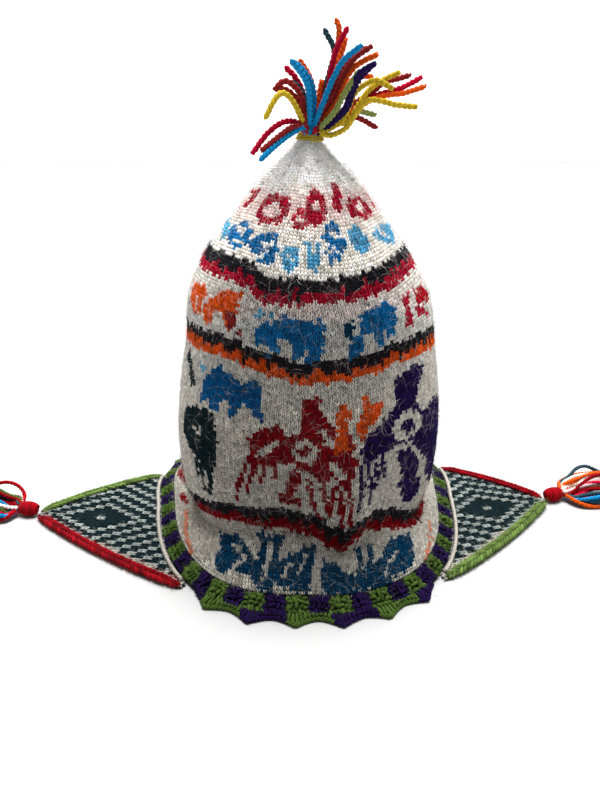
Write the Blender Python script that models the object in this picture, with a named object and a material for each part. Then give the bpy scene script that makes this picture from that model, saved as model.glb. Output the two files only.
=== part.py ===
# Chullo hat, standing on its rim with both earflaps laid out on the floor.
# Metres, +Z up. The front faces -Y, and the origin is on the floor under the middle of the whole.

import math

import bmesh
import bpy
import numpy as np
from mathutils import Vector

whole_place = Vector((0.0, -0.0078, 0.0))   # the body's axis, seen from the middle of the whole

# Crown
crown_height = 0.257        # from the rim's lower edge to the gathered tip
rim_lift = 0.0100           # the rim's height above the floor, on its border
body_half_width = 0.0870
body_front = 0.0800         # depth of the body before its middle
body_back = 0.0870          # and behind it
crown_wall = 0.0025
rim_splay = 0.125           # how much wider the rim is behind than in front
front_corner = 0.80         # the rim's front corners, as a share of its back corners
rim_draw = 0.25             # how far the stitches' columns lean forward at the rim
ridge_turn = math.radians(14)
ridge_spread = math.radians(13)
ridge_push = 0.0045         # how far the front ridge stands out
ridge_droop = 0.0125        # how far it pulls the lowest stripe down
gather_count = 9            # pleats drawn together at the tip
gather_depth = 0.0016
crown_columns = 48
seat_gap = 0.0003           # clearance between pieces that touch

# Border
border_width = 0.0110       # the inner course, of blocks
border_thickness = 0.0044
point_pitch = 0.0265        # the outer row of points
point_depth = 0.0078
point_margin = 0.0110       # plain border left free beside each flap

# Earflaps and their edges
flap_front_turn = math.radians(60)
flap_back_turn = math.radians(129)
flap_thickness = 0.0028
left_tip = Vector((-0.2050, 0.0230))
right_tip = Vector((0.1890, 0.0230))
front_cord_width = 0.0080
front_cord_thickness = 0.0056
back_cord_width = 0.0050
back_cord_thickness = 0.0042
cord_bow = 0.0045           # the edges bend outward by this much

# Knots, tassels, tie and tuft
knot_length = 0.0150
knot_radius = 0.0056
left_tassel_length = 0.0670
right_tassel_length = 0.0840
tassel_spread = 0.0270
tassel_head_share = 0.2     # the head's part of a tassel's length
tassel_head_flatness = 0.9
lock_bend = 0.35            # how far a lock's bend swings it, a share of tassel_spread
lock_fall = 2.4             # how soon a lock comes down to the floor
lock_lift = 3.2             # how high a stacked lock arches
lock_radius = 0.0026
tie_thickness = 0.0017
tie_rise = 0.0022           # the tie's height above the crown's tip
tuft_height = 0.0590
tuft_reach = 0.0660

# The crown from its rim to its tip. knit is the share of the knitted length. side_rise and front_rise
# are shares of crown_height, at the sides and in front or behind. half_width, lean and shift are shares
# of body_half_width: lean moves the section sideways and shift moves its widest line back. front is a
# share of body_front and back of body_back. corner is a share of the section's size at its back corners.
# splay, draw, ridge, droop and gather are shares of rim_splay, rim_draw, ridge_push, ridge_droop and
# gather_depth.
crown_names = (
    "knit", "side_rise", "front_rise", "half_width", "lean", "front", "back", "shift", "corner",
    "splay", "draw", "ridge", "droop", "gather",
)
crown_rows = (
    (0.000, 0.000, 0.000, 1.130, 0.000, 1.175, 1.270, 0.340, 0.12, 1.00, 1.00, 0.30, 0.00, 0.0),
    (0.060, 0.019, 0.062, 1.030, 0.000, 1.065, 1.130, 0.240, 0.10, 0.95, 0.85, 0.35, 0.25, 0.0),
    (0.125, 0.046, 0.136, 0.915, 0.000, 0.950, 0.980, 0.110, 0.05, 0.70, 0.60, 0.70, 1.00, 0.0),
    (0.170, 0.074, 0.180, 0.935, 0.000, 0.955, 0.975, 0.060, 0.02, 0.50, 0.40, 0.90, 1.00, 0.0),
    (0.220, 0.125, 0.222, 0.985, 0.000, 0.990, 0.990, 0.040, 0.00, 0.30, 0.20, 1.00, 0.60, 0.0),
    (0.330, 0.253, 0.292, 1.005, 0.000, 1.000, 1.000, 0.020, 0.00, 0.10, 0.00, 0.80, 0.25, 0.0),
    (0.420, 0.370, 0.385, 0.982, 0.004, 0.975, 0.978, 0.000, 0.00, 0.00, 0.00, 0.40, 0.10, 0.0),
    (0.520, 0.523, 0.523, 0.920, 0.004, 0.900, 0.920, 0.000, 0.00, 0.00, 0.00, 0.10, 0.00, 0.0),
    (0.600, 0.624, 0.618, 0.878, 0.000, 0.870, 0.868, 0.000, 0.00, 0.00, 0.00, 0.00, 0.00, 0.0),
    (0.690, 0.720, 0.705, 0.748, -0.018, 0.805, 0.758, 0.000, 0.00, 0.00, 0.00, 0.00, 0.00, 0.1),
    (0.770, 0.788, 0.782, 0.600, -0.022, 0.675, 0.632, 0.000, 0.00, 0.00, 0.00, 0.00, 0.00, 0.3),
    (0.850, 0.850, 0.850, 0.446, -0.014, 0.515, 0.494, 0.000, 0.00, 0.00, 0.00, 0.00, 0.00, 0.7),
    (0.920, 0.909, 0.909, 0.300, -0.014, 0.340, 0.313, 0.000, 0.00, 0.00, 0.00, 0.00, 0.00, 1.0),
    (0.965, 0.952, 0.952, 0.172, -0.012, 0.186, 0.172, 0.000, 0.00, 0.00, 0.00, 0.00, 0.00, 0.6),
    (0.988, 0.979, 0.979, 0.098, -0.006, 0.106, 0.098, 0.000, 0.00, 0.00, 0.00, 0.00, 0.00, 0.2),
    (1.000, 1.000, 1.000, 0.055, 0.000, 0.060, 0.055, 0.000, 0.00, 0.00, 0.00, 0.00, 0.00, 0.0),
)

# Soft dents in the body, and two swellings with a depth below 0: where each lies, how far it spreads,
# and its depth as a share of body_half_width.
dent_rows = (
    # turn, knit, turn_spread, knit_spread, depth
    (-0.45, 0.30, 0.32, 0.10, 0.035),
    (0.85, 0.27, 0.28, 0.11, 0.035),
    (-1.35, 0.53, 0.40, 0.06, 0.018),
    (-0.95, 0.70, 0.30, 0.05, -0.018),
    (1.00, 0.66, 0.40, 0.06, 0.015),
    (2.55, 0.36, 0.40, 0.12, 0.040),
    (-2.60, 0.48, 0.38, 0.13, 0.035),
    (3.14, 0.24, 0.25, 0.08, -0.025),
)

# Locks of the tuft: way is the compass angle from the front, reach and rise are shares of tuft_reach
# and tuft_height, and bow lifts the lock's middle, a share of tuft_height.
tuft_rows = (
    # way, reach, rise, bow
    (1.20, 0.22, 1.00, 0.06),
    (2.10, 0.42, 0.95, 0.08),
    (1.70, 0.62, 0.84, 0.10),
    (1.15, 0.84, 0.70, 0.14),
    (1.75, 1.00, 0.42, 0.24),
    (1.35, 0.96, 0.18, 0.26),
    (2.50, 0.72, 0.05, 0.20),
    (0.70, 0.66, -0.02, 0.20),
    (0.20, 0.45, 0.55, 0.20),
    (-1.20, 0.20, 0.72, 0.08),
    (-1.90, 0.38, 0.50, 0.16),
    (-1.45, 0.46, 0.22, 0.30),
    (-1.60, 0.56, -0.22, 0.34),
    (-0.90, 0.42, -0.16, 0.34),
    (3.00, 0.50, 0.62, 0.20),
    (-2.60, 0.42, 0.20, 0.30),
)

# Stations along a lock of a tassel: shares of its length, of its place across and of its bend.
lock_stations = (
    # part, wide, turned
    (0.05, 0.05, 0.0),
    (0.22, 0.22, 0.1),
    (0.50, 0.58, 0.8),
    (0.78, 0.85, 0.3),
    (1.00, 1.00, -0.4),
)

# Locks of a tassel: across is a share of tassel_spread, long of the tassel's length, bend of
# tassel_spread, and height of the stack of locks in lock diameters.
tassel_rows = (
    # across, long, bend, height
    (-1.00, 0.80, 0.30, 0.0),
    (-0.62, 0.95, -0.25, 0.0),
    (-0.22, 0.88, 0.30, 0.0),
    (0.15, 1.00, -0.20, 0.0),
    (0.52, 0.90, 0.28, 0.0),
    (0.95, 0.84, -0.30, 0.0),
    (-0.72, 0.74, 0.42, 1.1),
    (-0.05, 0.86, -0.40, 1.3),
    (0.60, 0.76, 0.36, 1.1),
)


def column(rows, names, name, at):
    """One column of a table at the shares in at, as a curve that has no bumps between its rows."""
    table = np.array(rows)
    share = table[:, 0]
    value = table[:, names.index(name)]
    step = np.diff(share)
    rise = np.diff(value) / step
    slope = np.zeros(len(share))
    same_way = rise[:-1] * rise[1:] > 0
    mean = 2 * rise[:-1] * rise[1:] / np.where(same_way, rise[:-1] + rise[1:], 1)
    slope[1:-1] = np.where(same_way, mean, 0)
    slope[0] = rise[0]
    slope[-1] = rise[-1]
    at = np.clip(at, share[0], share[-1])
    i = np.clip(np.searchsorted(share, at, side="right") - 1, 0, len(step) - 1)
    t = (at - share[i]) / step[i]
    start = value[i] * (1 + 2 * t) * (1 - t) ** 2 + slope[i] * step[i] * t * (1 - t) ** 2
    end = value[i + 1] * t * t * (3 - 2 * t) + slope[i + 1] * step[i] * t * t * (t - 1)
    return start + end


def crown_surface(turn, knit):
    """The crown's outer face. turn is the angle from the front towards +X, knit runs from rim to tip."""
    turn, knit = np.broadcast_arrays(np.asarray(turn, float), np.asarray(knit, float))

    def at(name):
        return column(crown_rows, crown_names, name, knit)

    drawn = turn - rim_draw * at("draw") * np.sin(turn)
    sine = np.sin(drawn)
    cosine = np.cos(drawn)
    level = at("side_rise") + (at("front_rise") - at("side_rise")) * cosine ** 2
    away = np.angle(np.exp(1j * (turn - ridge_turn)))
    ridge = np.exp(-(away / ridge_spread) ** 2)
    z = rim_lift + crown_height * level - ridge_droop * at("droop") * ridge
    shift = body_half_width * at("shift")
    deep = np.where(cosine > 0, body_front * at("front") + shift, body_back * at("back") - shift)
    cornered = 1 + at("corner") * np.where(cosine > 0, front_corner, 1) * (2 * sine * cosine) ** 2
    x = body_half_width * at("half_width") * (1 - rim_splay * at("splay") * cosine) * sine * cornered
    y = -deep * cosine * cornered
    out = ridge_push * at("ridge") * ridge + gather_depth * at("gather") * np.cos(gather_count * turn)
    for dent_turn, dent_knit, turn_spread, knit_spread, depth in dent_rows:
        turned = np.angle(np.exp(1j * (turn - dent_turn)))
        near = (turned / turn_spread) ** 2 + ((knit - dent_knit) / knit_spread) ** 2
        out = out - body_half_width * depth * np.exp(-near)
    grown = 1 + out / np.hypot(x, y)
    lean = body_half_width * at("lean")
    return np.stack([x * grown + lean, y * grown + shift, z], axis=-1)


def crown_normal(turn, knit):
    """Unit normals of the crown's outer face, from differences along its two directions."""
    step = 1e-4
    low = np.clip(knit - step, 0, 1)
    high = np.clip(knit + step, 0, 1)
    round_it = crown_surface(turn + step, knit) - crown_surface(turn - step, knit)
    up_it = crown_surface(turn, high) - crown_surface(turn, low)
    normal = np.cross(round_it, up_it)
    return normal / np.linalg.norm(normal, axis=-1, keepdims=True)


def rim_curve(turn, out):
    """Plan of the crown's rim moved outward by out."""
    turn = np.asarray(turn, float)
    step = 1e-4
    point = crown_surface(turn, 0.0)[..., :2]
    ahead = crown_surface(turn + step, 0.0)[..., :2] - crown_surface(turn - step, 0.0)[..., :2]
    normal = np.stack([ahead[..., 1], -ahead[..., 0]], axis=-1)
    normal = normal / np.linalg.norm(normal, axis=-1, keepdims=True)
    return point + normal * np.asarray(out, float)[..., None]


def make_material(name, colour, roughness):
    material = bpy.data.materials.new(name)
    material.use_nodes = True
    shader = material.node_tree.nodes["Principled BSDF"]
    shader.inputs["Base Color"].default_value = (*colour, 1)
    shader.inputs["Roughness"].default_value = roughness
    shader.inputs["Metallic"].default_value = 0
    material.diffuse_color = (*colour, 1)
    return material


def make_object(name, bm, material):
    """Puts a closed mesh into the scene with its faces pointing out."""
    bmesh.ops.recalc_face_normals(bm, faces=bm.faces)
    if bm.calc_volume(signed=True) < 0:
        bmesh.ops.reverse_faces(bm, faces=bm.faces)
    mesh = bpy.data.meshes.new(name)
    bm.to_mesh(mesh)
    bm.free()
    mesh.materials.append(material)
    mesh.shade_smooth()
    mesh.set_sharp_from_angle(angle=math.radians(50))
    thing = bpy.data.objects.new(name, mesh)
    thing.location = whole_place
    bpy.context.scene.collection.objects.link(thing)
    return thing


def bridge(bm, rings, closed=True):
    """Joins rings of vertices, each to the next one, and the last to the first if closed."""
    pairs = list(zip(rings, rings[1:]))
    if closed:
        pairs.append((rings[-1], rings[0]))
    for low, high in pairs:
        for i in range(len(low)):
            j = (i + 1) % len(low)
            bm.faces.new((low[i], low[j], high[j], high[i]))


def loft(sections):
    """A closed body through rings of points, with a fan to the middle of each end ring."""
    bm = bmesh.new()
    rings = [[bm.verts.new(point) for point in section] for section in sections]
    bridge(bm, rings, closed=False)
    for ring in (rings[0], rings[-1]):
        middle = sum((v.co for v in ring), Vector()) / len(ring)
        pole = bm.verts.new(middle)
        for i in range(len(ring)):
            bm.faces.new((ring[i], ring[(i + 1) % len(ring)], pole))
    return bm


def curve_through(points, count):
    """Points on a smooth curve through the given ones, evenly spread by number."""
    points = np.array(points, float)
    ends = np.vstack([2 * points[0] - points[1], points, 2 * points[-1] - points[-2]])
    at = np.linspace(0, len(points) - 1, count)
    i = np.minimum(at.astype(int), len(points) - 2)
    t = (at - i)[:, None]
    a, b, c, d = ends[i], ends[i + 1], ends[i + 2], ends[i + 3]
    bend = (2 * a - 5 * b + 4 * c - d) * t ** 2 + (3 * b - a - 3 * c + d) * t ** 3
    return (2 * b + (c - a) * t + bend) / 2


def tube_sections(path, width, thickness, sides):
    """Flattened rings square to a path. width and thickness give one value for each point."""
    path = np.array(path, float)
    way = np.gradient(path, axis=0)
    way = way / np.linalg.norm(way, axis=1, keepdims=True)
    side = np.cross(way, (0, 0, 1))
    flat = np.linalg.norm(side, axis=1, keepdims=True)
    side = np.where(flat > 0.05, side / np.maximum(flat, 0.05), (1.0, 0, 0))
    up = np.cross(side, way)
    angle = np.arange(sides) * 2 * math.pi / sides + math.pi / sides
    wide = np.broadcast_to(width, len(path))[:, None, None] / 2
    thick = np.broadcast_to(thickness, len(path))[:, None, None] / 2
    around = side[:, None] * np.cos(angle)[:, None] * wide + up[:, None] * np.sin(angle)[:, None] * thick
    return path[:, None] + around


def joined(name, bodies, material):
    """One closed body from several that overlap."""
    first = make_object(name, bodies[0], material)
    others = bpy.data.collections.new(name)
    bpy.context.scene.collection.children.link(others)
    for i, bm in enumerate(bodies[1:]):
        other = make_object(f"{name}_{i}", bm, material)
        bpy.context.scene.collection.objects.unlink(other)
        others.objects.link(other)
    union = first.modifiers.new("union", "BOOLEAN")
    union.operation = "UNION"
    union.solver = "EXACT"
    union.operand_type = "COLLECTION"
    union.collection = others
    graph = bpy.context.evaluated_depsgraph_get()
    fused = bpy.data.meshes.new_from_object(first.evaluated_get(graph))
    first.modifiers.clear()
    first.data = fused
    for other in list(others.objects):
        bpy.data.objects.remove(other)
    bpy.data.collections.remove(others)
    first.data.shade_smooth()
    return first


def make_crown(material):
    turn = np.arange(crown_columns) * 2 * math.pi / crown_columns
    knit = np.array([row[0] for row in crown_rows])
    between = (knit[1:] + knit[:-1]) / 2
    knit = np.sort(np.concatenate([knit, between[1:8]]))
    outer = crown_surface(turn, knit[:, None])
    inner_knit = knit[:-2, None]
    inner = crown_surface(turn, inner_knit) - crown_normal(turn, inner_knit) * crown_wall
    inner[0, :, 2] = outer[0, :, 2]
    bm = bmesh.new()
    outer_rings = [[bm.verts.new(point) for point in ring] for ring in outer]
    inner_rings = [[bm.verts.new(point) for point in ring] for ring in inner]
    bridge(bm, outer_rings, closed=False)
    bridge(bm, inner_rings, closed=False)
    bridge(bm, [outer_rings[0], inner_rings[0]], closed=False)
    for ring in (outer_rings[-1], inner_rings[-1]):
        middle = sum((v.co for v in ring), Vector()) / len(ring)
        pole = bm.verts.new(middle)
        for i in range(len(ring)):
            bm.faces.new((ring[i], ring[(i + 1) % len(ring)], pole))
    return make_object("crown", bm, material)


def border_stations():
    """Turns round the rim and the border's outer edge there: plain by the flaps, pointed elsewhere."""
    dense = np.linspace(-math.pi, math.pi, 2881)
    plan = rim_curve(dense, border_width)
    along = np.concatenate([[0], np.cumsum(np.linalg.norm(np.diff(plan, axis=0), axis=1))])

    def length_at(turn):
        return np.interp(turn, dense, along)

    lengths = []
    outer = []

    def pointed(start, end):
        count = max(1, round((end - start) / point_pitch))
        for i in range(count * 6):
            share = (i % 6) / 6
            peak = 1 - abs(2 * share - 1)
            lengths.append(start + (end - start) * i / (count * 6))
            outer.append(border_width + point_depth * (0.22 + 0.78 * peak ** 1.6))

    def plain(start, end):
        for i in range(12):
            lengths.append(start + (end - start) * i / 12)
            outer.append(border_width)

    total = along[-1]
    back = length_at(flap_back_turn)
    front = length_at(flap_front_turn)
    left_front = length_at(-flap_front_turn)
    left_back = length_at(-flap_back_turn)
    plain(left_back - point_margin, left_front + point_margin)
    pointed(left_front + point_margin, front - point_margin)
    plain(front - point_margin, back + point_margin)
    pointed(back + point_margin, total + left_back - point_margin)
    return np.interp(np.mod(lengths, total), along, dense), np.array(outer)


def make_border(material):
    turn, outer = border_stations()
    top = rim_lift - seat_gap
    low = top - border_thickness
    under = -crown_wall - seat_gap
    half = 0.45 * border_width
    slope = (top - border_thickness) * 0.5
    ones = np.ones(len(turn))
    section = (
        (under * ones, low + 0.25 * border_thickness),
        (under * ones, top - 0.15 * border_thickness),
        (0.15 * border_width * ones, top),
        (half * ones, border_thickness + slope),
        ((border_width - 0.001) * ones, border_thickness),
        (outer, border_thickness * 0.5),
        (outer - 0.0006, 0.0),
        ((border_width - 0.003) * ones, 0.0),
        (half * ones, slope),
    )
    bm = bmesh.new()
    rings = []
    for out, z in section:
        plan = rim_curve(turn, out)
        rings.append([bm.verts.new((x, y, z)) for x, y in plan])
    bridge(bm, rings)
    return make_object("rim_edging", bm, material)


def flap_frame(side):
    """Plan of one flap: corners on the border, the knot's place and the flap's direction."""
    front = rim_curve(side * flap_front_turn, border_width)
    back = rim_curve(side * flap_back_turn, border_width)
    tip = np.array(left_tip if side < 0 else right_tip)
    way = tip - (front + back) / 2
    way = way / np.linalg.norm(way)
    return front, back, tip, way


def edge_path(corner, end, bow, count):
    """An edge of a flap in plan, bent outward by bow in its middle."""
    share = np.linspace(0, 1, count)[:, None]
    along = end - corner
    normal = np.array([along[1], -along[0]]) / np.linalg.norm(along)
    return corner + along * share + normal * bow * 4 * share * (1 - share)


def edge_ends(side, which):
    """Start and end of an edge's cord: clear of the border, and beside the other cord at the knot."""
    front, back, tip, way = flap_frame(side)
    across = np.array([-way[1], way[0]]) * side
    inner_end = tip - way * (knot_length / 2 + seat_gap)
    if which == "front":
        width, corner, turn, sign = front_cord_width, front, flap_front_turn, -1
    else:
        width, corner, turn, sign = back_cord_width, back, flap_back_turn, 1
    start = rim_curve(side * turn, border_width + width * 0.5 + seat_gap)
    end = inner_end - way * width * 0.1 + across * sign * (width * 0.36 + seat_gap)
    return start, end, width, corner


def make_flap(name, side, material):
    """A knitted slab with its base along the border and its sides along the two cords."""
    rows = 9
    across = 16
    front_start, front_end, front_width, _ = edge_ends(side, "front")
    back_start, back_end, back_width, _ = edge_ends(side, "back")
    front_line = edge_path(front_start, front_end, side * cord_bow, 41)
    back_line = edge_path(back_start, back_end, -side * cord_bow, 41)
    base = back_start - front_start
    span = np.linalg.norm(base)
    base = base / span

    def inset(start, end, width):
        along = (end - start) / np.linalg.norm(end - start)
        lean = abs(along[0] * base[1] - along[1] * base[0])
        return (width / 2 + 2 * seat_gap) / lean

    front_inset = inset(front_start, front_end, front_width)
    back_inset = inset(back_start, back_end, back_width)
    far = 1 - (front_inset + back_inset + 2 * flap_thickness) / span
    turns = side * np.linspace(flap_front_turn, flap_back_turn, 41)
    seam = rim_curve(turns, border_width + 1.5 * seat_gap)
    share = np.linspace(0, far, rows)
    front_side = np.stack([np.interp(share * 40, np.arange(41), front_line[:, i]) for i in (0, 1)], axis=-1)
    back_side = np.stack([np.interp(share * 40, np.arange(41), back_line[:, i]) for i in (0, 1)], axis=-1)
    chord = back_side - front_side
    chord = chord / np.linalg.norm(chord, axis=1, keepdims=True)
    front_side = front_side + chord * front_inset
    back_side = back_side - chord * back_inset
    j = np.linspace(0, 1, across)[None, :, None]
    plan = front_side[:, None] * (1 - j) + back_side[:, None] * j
    base_row = plan[0]
    seam_share = (seam - seam[0]) @ base / ((seam[-1] - seam[0]) @ base)
    wanted = (base_row - seam[0]) @ base / ((seam[-1] - seam[0]) @ base)
    on_seam = np.stack([np.interp(wanted, seam_share, seam[:, i]) for i in (0, 1)], axis=-1)
    fade = (1 - share / far)[:, None, None]
    plan = plan + (on_seam - base_row)[None] * fade
    bm = bmesh.new()
    top = [[bm.verts.new((x, y, flap_thickness)) for x, y in row] for row in plan]
    low = [[bm.verts.new((x, y, 0)) for x, y in row] for row in plan]
    for grid in (top, low):
        for a, b in zip(grid, grid[1:]):
            for k in range(across - 1):
                bm.faces.new((a[k], a[k + 1], b[k + 1], b[k]))

    def edge_of(grid):
        left = [row[0] for row in grid]
        right = [row[-1] for row in grid]
        return grid[0] + right[1:] + grid[-1][-2::-1] + left[-2:0:-1]

    bridge(bm, [edge_of(low), edge_of(top)], closed=False)
    return make_object(name, bm, material)


def make_cord(name, side, which, material):
    """A crocheted edge, flattened on the floor, with narrowed ends."""
    start, end, width, _ = edge_ends(side, which)
    thickness = front_cord_thickness if which == "front" else back_cord_thickness
    bow = side * cord_bow if which == "front" else -side * cord_bow
    count = 16
    plan = edge_path(start, end, bow, count)
    share = np.linspace(0, 1, count)
    narrow = 0.62 + 0.38 * np.minimum(1, 10 * np.minimum(share, 1 - share))
    thick = thickness * narrow
    path = np.column_stack([plan, thick / 2 * math.cos(math.pi / 8)])
    return make_object(name, loft(tube_sections(path, width * narrow, thick, 8)), material)


def make_knot(name, side, material):
    """Yarn wound round the end of a flap: a spindle with four turns."""
    _, _, tip, way = flap_frame(side)
    count = 13
    share = np.linspace(0, 1, count)
    along = (share - 0.5) * knot_length
    swell = 0.62 + 0.38 * np.sin(math.pi * share) ** 0.6
    radius = knot_radius * swell * (1 - 0.10 * (np.arange(count) % 3 == 0))
    path = np.column_stack([tip[0] + way[0] * along, tip[1] + way[1] * along, radius * 0 + knot_radius])
    sections = tube_sections(path, 2 * radius, 2 * radius, 12)
    sections[..., 2] = np.maximum(sections[..., 2], 0)
    return make_object(name, loft(sections), material)


def make_tassel(name, side, length, material):
    """Locks of yarn lying on the floor, fused to a short head at the knot."""
    _, _, tip, way = flap_frame(side)
    across = np.array([-way[1], way[0]]) * side
    head = tip + way * (knot_length / 2 + seat_gap)
    head_length = tassel_head_share * length
    share = np.linspace(0, 1, 7)
    plan = head + way * head_length * share[:, None]
    fat = knot_radius * (0.74 + 0.5 * np.sin(math.pi * np.minimum(1, share * 0.8 + 0.1)))
    path = np.column_stack([plan, np.full(7, knot_radius)])
    sections = tube_sections(path, 2 * fat, 2 * fat * tassel_head_flatness, 10)
    sections[..., 2] = np.maximum(sections[..., 2], 0)
    bodies = [loft(sections)]
    reach = length - lock_radius
    for spread, long, bend, stack in tassel_rows:
        points = []
        for part, wide, turned in lock_stations:
            sideways = tassel_spread * (spread * wide + bend * turned * lock_bend)
            place = head + way * reach * part * long + across * sideways
            rest = lock_radius * (1 + lock_lift * stack * (1 - part) * part)
            lift = knot_radius + (rest - knot_radius) * min(1, part * lock_fall)
            points.append((*place, lift))
        path = curve_through(points, 9)
        path[:, 2] = np.maximum(path[:, 2], lock_radius * math.cos(math.pi / 6))
        taper = lock_radius * (1 - 0.25 * np.linspace(0, 1, 9) ** 3)
        sections = tube_sections(path, 2 * taper, 2 * taper, 6)
        sections[..., 2] = np.maximum(sections[..., 2], 0)
        bodies.append(loft(sections))
    return joined(name, bodies, material)


def make_tie(material):
    """Yarn wound round the gathered tip, and standing a little above it."""
    turn = np.arange(16) * 2 * math.pi / 16
    knit = np.array((0.988, 0.994, 1.0))[:, None]
    hug = crown_surface(turn, knit)
    plan = hug[..., :2]
    distance = np.linalg.norm(plan, axis=-1, keepdims=True)
    inner = np.concatenate([plan * (1 + 2 * seat_gap / distance), hug[..., 2:]], axis=-1)
    above = inner[-1] + (0, 0, tie_rise)
    inner = np.concatenate([inner, above[None]])
    bulge = tie_thickness * np.array((0.7, 1.0, 1.0, 0.75))[:, None, None]
    spread = inner[..., :2] * (1 + bulge / np.linalg.norm(inner[..., :2], axis=-1, keepdims=True))
    outer = np.concatenate([spread, inner[..., 2:]], axis=-1)
    bm = bmesh.new()
    rings = [[bm.verts.new(point) for point in ring] for ring in [*inner, *outer[::-1]]]
    bridge(bm, rings)
    return make_object("tuft_tie", bm, material)


def make_tuft(material):
    """Locks of yarn fanning out of the tie, fused to a short head that sits on the crown's tip."""
    tip = crown_surface(0.0, 1.0)
    neck = float(np.hypot(tip[0], tip[1]))
    floor_of_head = float(tip[2]) + seat_gap
    head_radius = neck * 0.85
    head_path = [(0, 0, floor_of_head + h) for h in (0, tie_rise * 0.8, tie_rise * 2.2, tie_rise * 3.2)]
    sections = tube_sections(head_path, 2 * head_radius, 2 * head_radius, 10)
    bodies = [loft(sections)]
    for i, (way, reach, rise, bow) in enumerate(tuft_rows):
        out = np.array((math.sin(way), -math.cos(way)))
        start = floor_of_head + tie_rise * (1.3 + 0.9 * i / len(tuft_rows))
        points = []
        for part in (0, 0.18, 0.45, 0.75, 1):
            flat = out * (head_radius * 0.3 + tuft_reach * reach * part ** 1.15)
            lift = tuft_height * (rise * part + bow * 2.6 * part * (1 - part))
            lift = max(lift, tie_rise * 2.0 * min(1, part / 0.18)) if part < 0.3 else lift
            points.append((*flat, start + lift))
        path = curve_through(points, 9)
        taper = lock_radius * (0.62 + 0.38 * np.sin(math.pi * np.linspace(0.12, 0.9, 9)))
        bodies.append(loft(tube_sections(path, 2 * taper, 2 * taper, 5)))
    return joined("top_tuft", bodies, material)


def main():
    for old in list(bpy.data.objects):
        bpy.data.objects.remove(old)
    cream = make_material("cream_knit", (0.80, 0.77, 0.72), 0.95)
    border = make_material("green_purple_crochet", (0.09, 0.10, 0.12), 0.95)
    patterned = make_material("dark_patterned_knit", (0.08, 0.10, 0.11), 0.95)
    red = make_material("red_crochet", (0.50, 0.01, 0.03), 0.92)
    green = make_material("green_crochet", (0.18, 0.30, 0.09), 0.92)
    wrap = make_material("red_wrap", (0.45, 0.02, 0.03), 0.92)
    yarns = make_material("mixed_yarn", (0.55, 0.18, 0.06), 0.90)
    yellow = make_material("yellow_yarn", (0.62, 0.48, 0.05), 0.90)
    make_crown(cream)
    make_border(border)
    for word, side, length in (("left", -1, left_tassel_length), ("right", 1, right_tassel_length)):
        front, back = (red, green) if word == "left" else (green, red)
        make_flap(f"earflap_{word}", side, patterned)
        make_cord(f"flap_cord_{word}_front", side, "front", front)
        make_cord(f"flap_cord_{word}_back", side, "back", back)
        make_knot(f"knot_{word}", side, wrap)
        make_tassel(f"tassel_{word}", side, length, yarns)
    make_tie(yellow)
    make_tuft(yarns)


main()
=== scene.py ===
import math

import bpy
import numpy as np
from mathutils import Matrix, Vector


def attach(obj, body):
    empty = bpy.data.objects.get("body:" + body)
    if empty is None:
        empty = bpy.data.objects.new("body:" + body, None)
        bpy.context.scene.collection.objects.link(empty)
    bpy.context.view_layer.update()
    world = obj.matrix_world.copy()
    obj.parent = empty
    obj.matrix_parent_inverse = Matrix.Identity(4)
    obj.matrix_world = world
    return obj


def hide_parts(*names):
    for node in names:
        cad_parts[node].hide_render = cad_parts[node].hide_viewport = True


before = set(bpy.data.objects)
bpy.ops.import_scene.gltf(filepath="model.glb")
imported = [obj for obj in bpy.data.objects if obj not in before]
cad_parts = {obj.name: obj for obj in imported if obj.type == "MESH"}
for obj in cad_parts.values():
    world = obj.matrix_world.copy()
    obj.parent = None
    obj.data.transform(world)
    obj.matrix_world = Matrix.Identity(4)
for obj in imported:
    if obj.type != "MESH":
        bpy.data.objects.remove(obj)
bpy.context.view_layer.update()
rng = np.random.default_rng(7)

# Colours and materials
# sRGB bytes of each dye. lower, ground and upper are the undyed cream darkened as painted shade, and tip is
# the same cream lightened as painted light
dyes = {
    "tip": (255, 253, 247), "cream": (238, 232, 222), "upper": (206, 206, 200), "ground": (202, 197, 188),
    "lower": (188, 184, 174), "snow": (226, 222, 212), "white": (158, 164, 160), "seam": (178, 172, 162),
    "pink": (232, 186, 186), "apricot": (208, 132, 104), "orange": (220, 86, 24), "rust": (138, 38, 38),
    "crimson": (168, 18, 46), "rose": (184, 16, 50), "red": (158, 6, 20), "redCord": (128, 6, 18),
    "darkRed": (132, 6, 18), "yellow": (200, 172, 46), "mustard": (176, 154, 44), "olive": (128, 142, 78),
    "grass": (92, 114, 56), "leaf": (66, 88, 36), "forest": (22, 38, 42), "teal": (44, 70, 80),
    "sky": (84, 162, 200), "lightBlue": (22, 130, 184), "blue": (18, 106, 162), "deepBlue": (12, 86, 140),
    "petrol": (4, 60, 92), "purple": (34, 20, 70), "plum": (28, 14, 56), "charcoal": (32, 31, 36),
}
# how much of the colour each pattern of the wool gives, its sizes, and its shine
wool = {
    "plain": 0.62, "fibre": 0.36, "fluff": 0.22, "cloud": 0.18, "fluffScale": 900.0, "cloudScale": 60.0,
    "bump": 0.5, "bumpHeight": 0.0004, "shine": 0.02, "sheenRoughness": 0.5,
}


def linear(name):
    # sRGB bytes to linear light
    share = np.array(dyes[name] if isinstance(name, str) else name, float) / 255
    return np.where(share < 0.04045, share / 12.92, ((share + 0.055) / 1.055) ** 2.4)


class Sum:
    # a socket whose + and * add Math nodes
    def __init__(self, graph, socket):
        self.graph = graph
        self.socket = socket

    def apply(self, operation, other, turned=False):
        values = (other, self) if turned else (self, other)
        return self.graph.node("ShaderNodeMath", {"operation": operation}, dict(enumerate(values)))

    def __add__(self, other):
        return self.apply("ADD", other)

    def __radd__(self, other):
        return self.apply("ADD", other, True)

    def __mul__(self, other):
        return self.apply("MULTIPLY", other)

    def __rmul__(self, other):
        return self.apply("MULTIPLY", other, True)


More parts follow.
